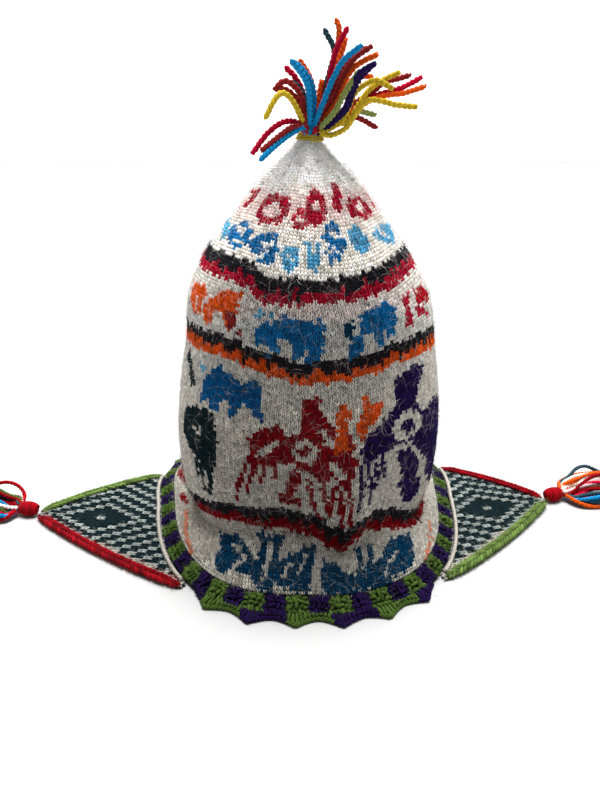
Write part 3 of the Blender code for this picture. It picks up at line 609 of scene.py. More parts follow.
def rowAt(turn, row):
    # where a knitted row lies, in equal rows: the row plus the stripes' bends, mixed between the stripes
    turn, row = np.broadcast_arrays(turn, row)
    column = columnAt(turn)
    numbers = np.array([number for number, share, path in bent], float)
    bends = []
    for number, share, path in bent:
        smooth = np.mean([np.interp(column + near, *np.array(path).T) for near in (-5, 0, 5)], axis=0)
        bends.append(share * (smooth - number))
    bends = np.stack(bends)
    i = np.clip(np.searchsorted(numbers, row, side="right") - 1, 0, len(numbers) - 2)
    t = (row - numbers[i]) / (numbers[i + 1] - numbers[i])
    below, above = (np.take_along_axis(bends, (i + k)[None], 0)[0] for k in (0, 1))
    return row + (1 - t) * below + t * above


def stitchDye(turn, row, sideways=0.0, upward=0.0):
    # the dye of each stitch, by its column and row; sideways and upward let the figures' edges waver
    u = columnAt(turn)
    v = np.asarray(row, float)
    levels, names = zip(*ground)
    bare = np.stack([np.interp(v, levels, [linear(name)[i] for name in names]) for i in range(3)], -1)
    rosy = sum(much * np.exp(-((v - middle) / spread) ** 2) for middle, spread, much in blush)[..., None]
    bare = bare * (1 - rosy) + linear("pink") * rosy
    dye = bare.copy()
    column = u + waver["across"] * sideways
    height = v + waver["up"] * upward
    half = crown["columns"] / 2
    behind = np.mod(column, 2 * half) - half   # the same figures again round the back
    repeated = np.where(np.abs(column) < half / 2, column, behind)
    for group, across in ((shapes, repeated), (sideShapes, column)):
        for kind, name, data in group:
            mask = drawShape(kind, data, across, height)
            dye[mask] = bare[mask] if name == "bare" else linear(name)
    for (lower, below), (upper, above), edge in stripes:
        at = v - np.interp(u, *np.array(edge).T) + waver["stripe"] * upward
        dye[(at >= 0) & (at < below + above)] = linear(upper)
        dye[(at >= 0) & (at + waver["between"] * upward < below)] = linear(lower)
    return dye


# Knitted stitches
stitch = {
    "spread": 0.43, "foot": 0.07, "down": -0.22, "up": 1.28, "halfThick": 0.00062, "proud": 0.00005,
    # rows at which the number of columns changes, so that a stitch stays about as wide
    "bands": (0, 84, 90, 96, 102, 108, 114, 120, 125, 130, 134, 137, 140), "width": 0.0023, "columns": 220,
    # a leg's half width as a share of the pitch, below and above one row, and how it flattens near the tip
    "legWidth": (0.212, 0.30), "wideFrom": 96, "flatRows": (100, 124), "flat": (1, 0.55),
    # unevenness of place, size and dye
    "sway": 0.25, "swayJitter": 0.06, "sizeJitter": 0.10, "lift": 0.2, "liftJitter": 0.07,
    "dyeJitter": (0.17, 0.6, 1.5), "legJitter": (0.15, 0.6, 1.4), "palest": 0.98,
    "ringLow": 0.6, "ringEnd": 0.86,
    "pieces": (("crownKnitLow", 0, 26), ("crownKnitBody", 26, 58), ("crownKnitMiddle", 58, 88),
               ("crownKnitTop", 88, 140)),
}
spindle = np.array(((0, 2, 1), (0, 3, 2), (0, 1, 3), (1, 2, 4), (4, 2, 5), (2, 3, 5), (5, 3, 6), (3, 1, 6),
                    (6, 1, 4), (4, 5, 6)))
# how far along the stitch a leg's point and its two rings lie, and how deep
legStations = ((0, -0.00065), (0.3, 0.0), (0.86, -0.00022))
legLength = 0.0025


def mottled(dye, jitter, *shape):
    # each strand's dye a little lighter or darker: the spread of the change and its limits
    spread, least, most = jitter
    return dye * np.clip(1 + rng.normal(0, spread, shape or None), least, most)


def legOut(share):
    # half a stitch's width at a share of its leg: narrow at the foot, spread at the top
    return stitch["foot"] + (stitch["spread"] - stitch["foot"]) * share ** 0.8


def addLegs(heap, centres, outs, across, thick, dye):
    # a point and two rings of three points, closed by a triangle. centres holds three stations of each
    way = unit(centres[:, 2] - centres[:, 1])
    side = unit(np.cross(way, outs))
    low = outs * thick * stitch["ringLow"]
    ring = []
    for station, size in ((1, 1.0), (2, stitch["ringEnd"])):
        middle = centres[:, station]
        ring += [middle - side * across * size - low, middle + outs * thick * size,
                 middle + side * across * size - low]
    points = np.stack([centres[:, 0], *ring], axis=1)
    along = np.repeat([share for share, deep in legStations], (1, 3, 3)) * legLength
    around = np.array((0, -1, 0, 1, -1, 0, 1.0))
    lay = np.stack([np.broadcast_to(around, points.shape[:2]), np.zeros(points.shape[:2]),
                    np.broadcast_to(along, points.shape[:2]) + rng.random((len(points), 1))], -1)
    tris = spindle[None] + (np.arange(len(points)) * 7)[:, None, None]
    heap.add(points, dye[:, None, :], lay, noQuads, tris)


def knitRows(heap, firstRow, lastRow):
    # two legs to each stitch, leaning apart, on rows that bend with the stripes
    s = stitch
    for start, end in zip(s["bands"], s["bands"][1:]):
        rows = np.arange(max(start, firstRow), min(end, lastRow))
        if not len(rows):
            continue
        ring = crownSurface(np.linspace(0, 2 * math.pi, 181), knitAt((start + end) / 2))
        columns = s["columns"] if start == 0 else round(arcLength(ring)[-1] / s["width"])
        row, column = [grid.ravel() for grid in np.meshgrid(rows, np.arange(columns), indexing="ij")]
        count = len(row)
        angle = column / columns * 2 * math.pi
        sway = s["sway"] * np.sin(row * 0.23 + angle * 4) + rng.normal(0, s["swayJitter"], count)
        size = 1 + rng.normal(0, s["sizeJitter"], count)
        middle = (column + 0.5 + sway) / columns * 2 * math.pi - math.pi
        wander = rng.normal(0, 1, columns)[column], rng.normal(0, 1, len(rows))[row - rows[0]]
        dye = stitchDye(middle, rowAt(middle, row + 0.5), wander[1], wander[0])
        dye = mottled(dye, s["dyeJitter"], count, 1)
        lift = row + rng.normal(0, s["liftJitter"], count) + s["lift"] * np.sin(angle * 7 + row * 0.05)
        lift = np.where(row < 1, row, lift)
        knit = knitAt(rowAt(middle, lift + 0.5))
        outs = crownNormal(middle, knit)
        halfTurn = math.pi / columns
        ends = crownSurface(middle + halfTurn, knit), crownSurface(middle - halfTurn, knit)
        pitch = np.linalg.norm(ends[0] - ends[1], axis=-1)
        wide = (pitch * size)[:, None] * s["legWidth"][start >= s["wideFrom"]]
        thick = s["halfThick"] * (size * np.interp(row, s["flatRows"], s["flat"]))[:, None]
        for sign in (-1, 1):
            stations = []
            for share, deep in legStations:
                turn = middle + sign * legOut(share) * 2 * halfTurn
                up = rowAt(turn, lift + s["down"] + (s["up"] - s["down"]) * share)
                point = crownSurface(turn, np.clip(knitAt(up), 0.0005, 0.999))
                stations.append(point + outs * (s["proud"] + deep))
            shade = np.minimum(mottled(dye, s["legJitter"], count, 1), s["palest"])
            addLegs(heap, np.stack(stations, axis=1), outs, wide, thick, shade)


def makeCrown():
    # the wall: rings down the inside from the tip and back up the outside, joined at the rim
    around = 96
    turn = np.arange(around) * 2 * math.pi / around
    outerKnit = np.concatenate([np.linspace(0, 0.96, 48), [0.975, 0.988, 0.995, 1.0]])
    innerKnit = outerKnit[:-4]
    sheets = [crownSurface(turn, knit[:, None]) - crownNormal(turn, knit[:, None]) * deep
              for knit, deep in ((innerKnit[::-1], crown["wall"]), (outerKnit, crown["under"]))]
    sheets[0][-1, :, 2] = sheets[1][0, :, 2] = crown["lift"]
    rings = np.concatenate(sheets)
    count = len(rings)
    row = np.broadcast_to(np.interp(np.concatenate([innerKnit[::-1], outerKnit]), evenKnit, evenRow)[:, None],
                          (count, around))
    dye = stitchDye(np.broadcast_to(turn, row.shape), row)
    inside = len(innerKnit)
    # painted shade: the wall under the stitches darkened to stand for the shade between them, less so near
    # the tip where the rows are open and more light reaches it; the inside face at 0.62 of its dye
    shade = np.interp(row[inside:], (96, 126), (0.10, 0.85))[..., None]
    dye[inside:] = dye[inside:] * shade + 0.010
    dye[:inside] *= 0.62
    dye = np.concatenate([dye.reshape(-1, 3), np.full((2, 3), 0.3)])
    waves = [np.broadcast_to(wave(turn * 0.99), row.shape) for wave in (np.cos, np.sin)]
    lay = np.concatenate([np.stack([*waves, row * 0.002], -1).reshape(-1, 3), np.zeros((2, 3))])
    heap = Heap()
    heap.add(poled(rings), dye, lay, *ringFaces(count, around))
    heap.build("crownWall", knitYarn, ("crown",))
    for name, first, last in stitch["pieces"]:
        heap = Heap()
        knitRows(heap, first, last)
        heap.build(name, knitYarn)


makeCrown()
print("crown knitted")

# Border of crocheted blocks and points
border = {
    "width": 0.0110, "pitch": 0.0265, "depth": 0.0078, "valley": 0.18, "sharp": 1.7, "margin": 0.0110,
    "gap": 0.0003,
    # the top's height by the distance from the rim
    "top": ((0, 0.00165, 0.00495, 0.0100, 0.0190), (0.0094, 0.0097, 0.0070, 0.0044, 0.0022)),
    # rows of fat lobes: how far from the rim each begins and ends, their spacing, thickness, lean and height
    "rows": ((-0.0006, 0.0030), (0.0018, 0.0054), (0.0044, 0.0080), (0.0070, 0.0106)), "post": 0.0028,
    "fat": 0.00115, "fatJitter": 0.12, "longJitter": 0.1, "lean": 0.9, "leanJitter": 0.5, "puff": 0.0022,
    "sink": 0.0012, "arch": 0.0007, "wander": 0.0005, "lobeJitter": (0.22, 0.5, 1.7), "coreShade": 0.35,
    # lobes that fan into the points, and the twisted chain along the outline
    "fan": 0.0024, "fanFat": 0.00118, "fanLean": 0.0006, "fanSink": 0.0004, "fanArch": 0.0010,
    "fanJitter": (0.16, 0.6, 1.5), "inset": 0.0016,
    "chainHigh": 0.0019, "chainYarn": 0.00094, "chainCoil": 0.0007, "chainPitch": 0.0050,
    "chainStations": 520, "coreStations": 300,
}
flap = {
    "frontTurn": math.radians(60), "backTurn": math.radians(129), "thick": 0.0028, "left": (-0.2050, 0.0230),
    "right": (0.1890, 0.0230), "bow": 0.0045,
    "frontWidth": 0.0080, "frontThick": 0.0056, "frontPlump": 1.0,
    "backWidth": 0.0050, "backThick": 0.0042, "backPlump": 1.4,
    "knotLength": 0.0150, "knotRadius": 0.0056, "knotTurns": 7, "knotYarn": 0.00115, "knotEnds": 0.62,
    "knotDyes": ("red", "darkRed"),
    # stitches, counted from near the tip and from the axis; the diamonds' middle row; the pale line
    "column": 0.0036, "row": 0.0031, "rows": 50, "columns": 24, "first": 0.010, "diamond": 7, "pale": 0.0072,
    "legWidth": 0.00082, "legThick": 0.00072, "sunk": 0.0007, "swell": 0.0002,
    "knitJitter": (0.14, 0.65, 1.4), "paleTo": 0.55,
    # the slab under the stitches: share of the outline and height of each ring
    "slab": ((0.02, 0.0003), (0.94, 0.0003), (1.0, 0.0008), (0.97, 0.0016), (0.02, 0.0017)),
    "seam": 0.0009, "seamCoil": 0.0007, "seamPitch": 0.0052, "seamOut": 0.0016, "seamUp": 0.0012,
}
# the edges' crochet in shares of its width: its lobes, then its core and how narrow its ends are
cord = {
    "lobe": 0.44, "fat": 0.165, "fatJitter": 0.08, "offset": 0.25, "slant": 0.42, "long": 1.5,
    "wander": 0.0012,
    "core": 0.25, "coreUp": 0.40, "coreShade": 0.3, "ends": 0.62, "stations": 120, "up": (0.34, 0.32),
    "jitter": (0.3, 0.4, 1.8),
}
flapSides = (("left", -1), ("right", 1))
cordDyes = {-1: {"front": "redCord", "back": "grass"}, 1: {"front": "grass", "back": "redCord"}}
denseTurn = np.linspace(-math.pi, math.pi, 2881)
rimAlong = arcLength(rimCurve(denseTurn, border["width"]))


def turnAt(length):
    return np.interp(np.mod(length, rimAlong[-1]), rimAlong, denseTurn)


def borderReach(length):
    # how far the border reaches, and where along its runs of points: between the flaps it has a row of
    # points, beside them its plain width. Runs count in pairs of blocks, 100 apart
    b = border
    total = rimAlong[-1]
    corners = [side * flap[key] for side in (-1, 1) for key in ("frontTurn", "backTurn")]
    leftFront, leftBack, front, back = np.interp(corners, denseTurn, rimAlong)
    m = b["margin"]
    length = np.mod(length, total)
    out = np.full(length.shape, b["width"])
    run = np.zeros(length.shape)
    pointed = np.zeros(length.shape, bool)
    spans = ((leftFront + m, front - m, True), (back + m, total + leftBack - m, True),
             (front - m, back + m, False), (leftBack - m, leftFront + m, False))
    for number, (start, end, points) in enumerate(spans):
        count = max(1, round((end - start) / b["pitch"]))
        past = np.mod(length - start, total)
        share = past / (end - start) * count
        on = past < end - start
        peak = 1 - np.abs(2 * (share % 1) - 1)
        run = np.where(on, share + 100 * number, run)
        if points:
            reach = b["width"] + b["depth"] * (b["valley"] + (1 - b["valley"]) * peak ** b["sharp"])
            out = np.where(on, reach, out)
            pointed |= on
    return out, run, pointed


def blockDye(run):
    # two blocks to a run: leaf in its middle, plum at its ends
    return np.where((np.abs(run % 1 - 0.5) < 0.26)[..., None], linear("leaf"), linear("plum"))


def pointDye(run):
    # each point and the chain after it in one dye, in turn
    return np.where((np.floor(run + 0.7) % 2 == 0)[..., None], linear("plum"), linear("leaf"))


def borderTop(out):
    # the top slopes from the rim down to the blocks' outer edge and on to the points
    return np.interp(out, *border["top"])


def lobe(share):
    # a lobe's thickness along it: part of a sine, so that its ends are round
    return np.sin(math.pi * (0.14 + 0.72 * share))


def byStation(dye, sides):
    # one tube's dye by station, given to the points of its rings and to its poles
    return np.concatenate([np.repeat(dye, sides, axis=0), dye[:1], dye[-1:]])[None]


def makeBorder():
    b = border
    total = rimAlong[-1]
    # core: the border's section carried round the rim, a little inside its lobes, its dye darkened by
    # coreShade as painted shade between the lobes
    length = np.linspace(0, total, b["coreStations"], endpoint=False)
    reach, run, pointed = borderReach(length)
    sections = ((-0.0026, 0.0064), (-0.0026, 0.0088), (0.0016, 0.0088), (0.0050, 0.0060), (0.0100, 0.0032),
                (reach - 0.0014, 0.0013), (reach - 0.0016, 0.0003), (0.0080, 0.0003), (0.0050, 0.0024))
    rings = np.stack([raised(rimCurve(turnAt(length), out), z) for out, z in sections])
    heap = Heap()
    heap.add(rings, blockDye(run) * b["coreShade"], np.zeros(3), *ringFaces(*rings.shape[:2], True, True))
    # four rows of fat lobes, each row leaning the other way, raised in the middle of each block
    share = np.linspace(0, 1, 6)
    posts = round(total / b["post"])
    for number, (low, high) in enumerate(b["rows"]):
        at = (np.arange(posts) + 0.5 * (number % 2)) / posts * total + rng.normal(0, b["wander"], posts)
        run = borderReach(at)[1]
        puff = b["puff"] * np.cos(math.pi * ((2 * run - 0.5) % 1 - 0.5)) ** 2
        tilt = rng.normal(b["lean"] if number % 2 else -b["lean"], b["leanJitter"], posts)
        half = (high - low) / 2 * (1 + rng.normal(0, b["longJitter"], posts))
        along = (2 * share - 1) * half[:, None]
        out = (low + high) / 2 + along * np.cos(tilt)[:, None]
        plan = rimCurve(turnAt(at[:, None] + along * np.sin(tilt)[:, None]), out)
        puff = puff * math.sin(math.pi * (number + 0.5) / len(b["rows"]))
        z = borderTop(out) - b["sink"] + puff[:, None] + b["arch"] * np.sin(math.pi * share)
        fat = b["fat"] * lobe(share) ** 0.6 * (1 + rng.normal(0, b["fatJitter"], (posts, 1)))
        tubes(heap, raised(plan, z), fat, mottled(blockDye(run), b["lobeJitter"], posts, 1), 5)
    heap.build("rimBlocks", strandYarn, ("rim_edging",))
    # outer row: short lobes fanning into each point, and a twisted chain along the outline
    heap = Heap()
    fans = round(total / b["fan"])
    at = (np.arange(fans) + 0.5) / fans * total
    reach, run, pointed = borderReach(at)
    at, reach, run = at[pointed], reach[pointed], run[pointed]
    out = b["width"] - b["inset"] + (reach - b["width"])[:, None] * share
    lean = rng.normal(0, b["fanLean"], (len(at), 1)) * (share - 0.5)
    plan = rimCurve(turnAt(at[:, None] + lean), out)
    z = borderTop(out) - b["fanSink"] + b["fanArch"] * np.sin(math.pi * share) * rng.random((len(at), 1))
    shade = mottled(pointDye(run), b["fanJitter"], len(at), 1)
    tubes(heap, raised(plan, z), b["fanFat"] * lobe(share) ** 0.5, shade, 5)
    lengths = np.linspace(0, 2 * total, 3602)
    for start in np.nonzero(np.diff(borderReach(lengths)[2].astype(int)) == 1)[0][:2]:
        stop = start + 1 + np.argmin(borderReach(lengths[start + 1:])[2])
        length = lengths[start + 1:stop]
        reach, run, pointed = borderReach(length)
        plan = rimCurve(turnAt(length), reach - b["inset"])
        path = evenly(raised(plan, b["chainHigh"]), b["chainStations"])
        runs = np.interp(np.linspace(0, 1, b["chainStations"]), np.linspace(0, 1, len(run)), run)
        for ply in twisted(path, b["chainCoil"], b["chainPitch"]):
            tubes(heap, ply, b["chainYarn"], byStation(pointDye(runs), 5), 5)
    heap.build("rimPoints", strandYarn)


makeBorder()
print("border crocheted")


# Earflaps
def flapFrame(side):
    # the flap's tip, the way to it from the middle of its base, and the way across
    tip = np.array(flap["left" if side < 0 else "right"]) + (0, crown["place"])
    ends = [rimCurve(side * flap[key], border["width"]) for key in ("frontTurn", "backTurn")]
    way = unit(tip - (ends[0] + ends[1]) / 2)
    return tip, way, np.array([-way[1], way[0]]) * side


def edgeEnds(side, which):
    # an edge's cord runs from beside the border to beside the knot
    tip, way, across = flapFrame(side)
    width = flap[which + "Width"]
    sign = -1 if which == "front" else 1
    start = rimCurve(side * flap[which + "Turn"], border["width"] + width * 0.5 + border["gap"])
    inner = tip - way * (flap["knotLength"] / 2 + border["gap"])
    end = inner - way * width * 0.1 + across * sign * (width * 0.36 + border["gap"])
    return start, end, side * sign * -flap["bow"]


def bowed(start, end, bow, share):
    # a straight line bent outward by bow in its middle, as a parabola
    along = end - start
    normal = unit(np.array([along[1], -along[0]]))
    return start + along * share[:, None] + normal * (bow * 4 * share * (1 - share))[:, None]


def edgeLine(side, which, count):
    return bowed(*edgeEnds(side, which), np.linspace(0, 1, count))


def flapStitches(side):
    # a square grid of stitches along the flap's axis, kept where it lies between the two edges and the rim
    f = flap
    tip, way, across = flapFrame(side)
    base = rimCurve(side * np.linspace(f["frontTurn"], f["backTurn"], 41), border["width"] + 0.0005)
    outline = np.concatenate([base, edgeLine(side, "back", 41), edgeLine(side, "front", 41)[::-1]])
    grids = np.meshgrid(np.arange(f["rows"]), np.arange(-f["columns"], f["columns"] + 1), indexing="ij")
    row, column = [grid.ravel() for grid in grids]
    place = tip - way * (row[:, None] * f["row"] + f["first"]) + across * column[:, None] * f["column"]
    keep = insideArea([tuple(point) for point in outline], *place.T)
    return place[keep], row[keep], column[keep], outline


def flapDye(place, row, column, side):
    # dashes of two rows: light where the steps from the middle along and across sum to 0, 5, 8, 11 and so on.
    # Near the front cord a line of pale stitches
    reach = np.abs(row // 2 - flap["diamond"]) + np.abs(column)
    light = (reach == 0) | (reach >= 5) & (reach % 3 == 2)
    dye = np.broadcast_to(linear("forest"), (len(row), 3)).copy()
    dye[light] = linear("white")
    start, end, bow = edgeEnds(side, "front")
    along = end - start
    share = ((place - start) @ along) / (along @ along)
    near = np.linalg.norm(place - bowed(start, end, bow, share), axis=1) < flap["pale"]
    dye[near & (share < flap["paleTo"])] = linear("seam")
    dye[near & (share >= flap["paleTo"]) & (row % 2 == 0)] = linear("white")
    return dye


def makeFlap(word, side):
    f = flap
    tip, way, across = flapFrame(side)
    place, row, column, outline = flapStitches(side)
    count = len(place)
    heap = Heap()
    dye = mottled(flapDye(place, row, column, side), f["knitJitter"], count, 1)
    up = np.broadcast_to((0, 0, 1.0), (count, 3))
    swell = f["swell"] * np.sin(place[:, 0] * 90) * np.sin((place[:, 1] - crown["place"]) * 110)
    for sign in (-1, 1):
        stations = []
        for share, deep in legStations:
            plan = place + across * sign * legOut(share) * f["column"] - way * (1.5 * share - 0.72) * f["row"]
            stations.append(raised(plan, f["thick"] - f["sunk"] + deep + swell))
        addLegs(heap, np.stack(stations, axis=1), up, f["legWidth"], f["legThick"], dye)
    # slab under the stitches: rings inside the outline, top and bottom, its forest dye at 0.7 as painted
    # shade between the stitches
    middle = outline.mean(0)
    rings = np.stack([raised(middle + (outline - middle) * share, z) for share, z in f["slab"]])
    x, y = outline.T
    clockwise = (x * np.roll(y, -1) - y * np.roll(x, -1)).sum() < 0
    heap.add(poled(rings), linear("forest") * 0.7, np.zeros(3), *ringFaces(*rings.shape[:2], clockwise))
    heap.build(f"earflapKnit_{word}", knitYarn, (f"earflap_{word}",))
    # the seam: a twisted pale strand along the border
    turns = side * np.linspace(f["frontTurn"] + 0.03, f["backTurn"] - 0.03, 150)
    path = raised(rimCurve(turns, border["width"] + f["seamOut"]), f["thick"] + f["seamUp"])
    heap = Heap()
    for ply in twisted(path, f["seamCoil"], f["seamPitch"]):
        tubes(heap, ply, f["seam"], linear("seam"), 5)
    heap.build(f"flapSeam_{word}", strandYarn)


def makeCord(word, side, which, colour):
    # crochet: two rows of lobes leaning against each other over a core, flattened on the floor
    c = cord
    width, thick = [flap[which + "Plump"] * flap[which + size] for size in ("Width", "Thick")]
    share = np.linspace(0, 1, c["stations"])
    path = evenly(raised(edgeLine(side, which, c["stations"]), thick * c["coreUp"]), c["stations"])
    narrow = c["ends"] + (1 - c["ends"]) * np.minimum(1, 10 * np.minimum(share, 1 - share))
    heap = Heap()
    # the core, its dye darkened by coreShade as painted shade under the lobes
    tubes(heap, path[None], width * c["core"] * narrow, linear(colour) * c["coreShade"], 8, thick / width)
    length = arcLength(path)[-1]
    pitch = c["lobe"] * width
    many = round(length / pitch)
    long = np.linspace(-0.5, 0.5, 6)
    for sign in (-1, 1):
        at = (np.arange(many) + 0.75 + 0.25 * sign) / (many + 0.6) + rng.normal(0, c["wander"], many)
        at = np.clip(at[:, None] + long * pitch * c["long"] / length, 0.012, 0.988)
        centre = np.stack([np.interp(at, share, path[:, i]) for i in range(2)], -1)
        slim = np.interp(at, share, narrow)
        way = unit(np.gradient(centre, axis=1))
        out = sign * slim * width * (c["offset"] - c["slant"] * long)
        plan = centre + np.stack([-way[..., 1], way[..., 0]], -1) * out[..., None]
        fat = c["fat"] * width * np.cos(math.pi * long * 0.80) ** 0.6 * slim
        fat = fat * (1 + rng.normal(0, c["fatJitter"], (many, 1)))
        dome = np.sqrt(np.clip(1 - (out / width * 1.7) ** 2, 0.05, 1))
        z = thick * slim * (c["up"][0] + c["up"][1] * dome)
        tubes(heap, raised(plan, z), fat, mottled(linear(colour), c["jitter"], many, 1), 5)
    heap.build(f"cordPlies_{word}_{which}", strandYarn, (f"flap_cord_{word}_{which}",))


def makeKnot(word, side):
    # one strand wound round a spindle, its radius rising and falling along the knot
    f = flap
    tip, way, across = flapFrame(side)
    way = np.array((*way, 0))
    yarn = f["knotYarn"]
    centre = np.array((*tip, f["knotRadius"]))

    def swell(share):
        return f["knotEnds"] + (1 - f["knotEnds"]) * np.sin(math.pi * share) ** 0.6

    share = np.linspace(0, 1, f["knotTurns"] * 18)
    angle = (share * f["knotTurns"] * 2 * math.pi)[:, None]
    around = np.cos(angle) * np.cross(way, (0, 0, 1)) + np.sin(angle) * np.array((0, 0, 1.0))
    path = (centre + way * ((share - 0.5) * (f["knotLength"] - 2 * yarn))[:, None]
            + around * (f["knotRadius"] * swell(share) - yarn)[:, None])
    dye = np.array([linear(name) for name in f["knotDyes"]])[np.floor(share * 5).astype(int) % 2]
    heap = Heap()
    tubes(heap, path[None], yarn, byStation(dye, 6), 6)
    # a core inside the winding, its dye at 0.6 as painted shade between the turns
    share = np.linspace(0, 1, 9)
    core = centre + way * (share - 0.5)[:, None] * (f["knotLength"] - 0.001)
    tubes(heap, core[None], f["knotRadius"] * swell(share) - 1.2 * yarn, linear(f["knotDyes"][0]) * 0.6, 12)
    heap.build(f"knotWrap_{word}", strandYarn, (f"knot_{word}",))


for word, side in flapSides:
    makeFlap(word, side)
    for which, colour in cordDyes[side].items():
        makeCord(word, side, which, colour)
    makeKnot(word, side)
print("earflaps laid")

# Camera, and points behind its pixels
view = {"place": (-0.030, -0.4707, 0.300), "down": 66.5, "turned": -3.0, "lens": 33.75, "sensor": 36,
        "pixels": (600, 800)}
camera = bpy.data.objects.new("camera", bpy.data.cameras.new("camera"))
camera.location = view["place"]
camera.rotation_euler = (math.radians(view["down"]), 0, math.radians(view["turned"]))
camera.data.lens = view["lens"]
camera.data.sensor_width = view["sensor"]
bpy.context.scene.collection.objects.link(camera)
bpy.context.scene.camera = camera
bpy.context.view_layer.update()


def seen(pixel, depth):
    # the point behind a pixel of the frame whose y is depth
    wide, high = view["pixels"]
    focal = view["lens"] / view["sensor"] * high
    way = Vector(((pixel[0] - wide / 2) / focal, (high / 2 - pixel[1]) / focal, -1))
    ray = np.array(camera.matrix_world.to_3x3() @ way)
    start = np.array(view["place"])
    return start + ray * ((depth - start[1]) / ray[1])


# Tuft, its tie, and the tassels
strand = {
    "curve": 90, "stations": 62, "turnStep": 2.4, "lowest": 0.00148, "jitter": (0.07, 0.8, 1.2),
    "taper": ((0, 0.04, 0.97, 1), (0.8, 1, 1, 0.75)),
}
tuft = {
    "yarn": 0.00116, "coil": 0.00074, "pitch": 0.0058, "base": (0.0, crown["place"], 0.2685),
    "root": 0.0022, "rootLow": 0.002, "rootUp": 0.0035,
    # the front strands leave from a row of pixels before the tie, by where their tips are
    "frontRow": 134.0, "frontTips": (252, 426), "frontSpots": (305, 322), "frontOut": 0.0075,
    # dye, depth of the tip behind the middle, pixels from the tie to the tip
    "strands": (
        ("teal", 0.012, ((318, 112), (330, 70), (334, 50), (324, 29))),
        ("orange", 0.014, ((320, 110), (332, 77), (339, 34), (336, 19))),
        ("rose", -0.004, ((319, 112), (328, 90), (331, 70), (337, 48), (348, 27))),
        ("orange", 0.006, ((320, 112), (336, 68), (341, 54), (346, 38))),
        ("lightBlue", -0.024, ((314, 127), (324, 101), (334, 77), (344, 60), (362, 45))),
        ("rust", -0.012, ((322, 116), (334, 97), (344, 74), (355, 58), (372, 46))),
        ("rust", -0.004, ((322, 116), (331, 97), (341, 74), (352, 58), (367, 48))),
        ("orange", -0.010, ((322, 120), (336, 101), (345, 80), (357, 65), (378, 54))),
        ("olive", -0.022, ((318, 130), (334, 113), (345, 93), (360, 70))),
        ("purple", -0.028, ((324, 130), (344, 110), (351, 90), (359, 74), (376, 63))),
        ("purple", -0.022, ((326, 128), (346, 110), (353, 92), (361, 77), (373, 65))),
        ("yellow", 0.006, ((345, 122), (356, 108), (369, 90), (383, 80), (400, 72))),
        ("yellow", -0.006, ((342, 120), (355, 93), (372, 81), (381, 82), (393, 89))),
        ("rust", 0.012, ((340, 112), (372, 92), (384, 83), (411, 75))),
        ("rose", 0.010, ((340, 116), (372, 97), (401, 88), (422, 77))),
        ("orange", 0.008, ((340, 118), (376, 98), (404, 93), (426, 86))),
        ("yellow", -0.030, ((332, 135), (346, 128), (357, 112), (371, 100), (397, 105), (417, 107))),
        ("olive", 0.010, ((340, 112), (358, 111), (376, 115))),
        ("rust", 0.008, ((336, 116), (356, 117), (377, 128))),
        ("orange", 0.014, ((322, 110), (350, 82), (362, 76), (373, 77))),
        ("lightBlue", -0.020, ((310, 127), (310, 112), (309, 92), (304, 77), (291, 60))),
        ("lightBlue", -0.012, ((312, 124), (314, 104), (313, 88), (306, 74), (295, 62))),
        ("orange", 0.004, ((314, 112), (312, 84), (306, 70), (299, 60))),
        ("rose", 0.006, ((309, 112), (302, 90), (294, 76), (285, 67))),
        ("teal", 0.002, ((309, 116), (305, 99), (298, 87), (290, 82))),
        ("rust", -0.006, ((304, 112), (302, 98), (294, 86), (284, 81), (274, 90))),
        ("rust", 0.002, ((303, 112), (295, 97), (284, 89), (275, 89))),
        ("yellow", -0.018, ((304, 126), (300, 115), (292, 100), (283, 93), (275, 99), (265, 119))),
        ("rose", -0.020, ((300, 124), (290, 121), (279, 124), (266, 135), (252, 154))),
        ("rust", -0.024, ((302, 126), (292, 127), (278, 137), (261, 151))),
        ("lightBlue", -0.028, ((302, 128), (289, 135), (274, 147), (260, 160))),
        ("orange", 0.004, ((317, 112), (319, 97), (322, 80))),
    ),
}
tie = {
    "turns": 3, "steps": 28, "yarn": 0.00095, "proud": 0.0002,
    "knit": (0.9935, 1.0), "height": (0.2646, 0.2683),
    "core": (0.0036, 0.0044, 0.0044, 0.0044, 0.004, 0.003), "coreHeight": (0.2640, 0.2705),
}
tassel = {
    "yarn": 0.00102, "coil": 0.00066, "pitch": 0.0056, "spread": 0.0270, "most": 1.08, "strands": 26,
    "left": 0.0670, "right": 0.0840, "shortest": 0.80, "longer": 0.18, "bend": 0.32, "loop": 0.16,
    "root": 0.0032,
    "parts": (0, 0.08, 0.22, 0.4, 0.6, 0.8, 1.0), "low": 0.0015, "pile": 0.0135, "pileGrowth": 1.3,
    "fan": 0.28, "fanWide": 0.92, "bendWide": 0.9, "waves": 2.6, "knotPart": 0.25, "golden": 0.618034,
    "leftDyes": ("red", "snow", "leaf", "darkRed", "lightBlue", "teal", "rose"),
    "rightDyes": ("orange", "darkRed", "lightBlue", "snow", "yellow", "teal", "pink", "rose"),
}


def layStrand(heap, points, dye, turn, kind):
    # two plies twisted about the curve through the points, slimmer at both ends
    path = evenly(curveThrough(points, strand["curve"]), strand["stations"])
    path[:, 2] = np.maximum(path[:, 2], strand["lowest"])
    slim = np.interp(np.linspace(0, 1, strand["stations"]), *strand["taper"])
    for ply in twisted(path, kind["coil"] * slim, kind["pitch"], turn):
        tubes(heap, ply, kind["yarn"] * slim, mottled(linear(dye), strand["jitter"]), 5)


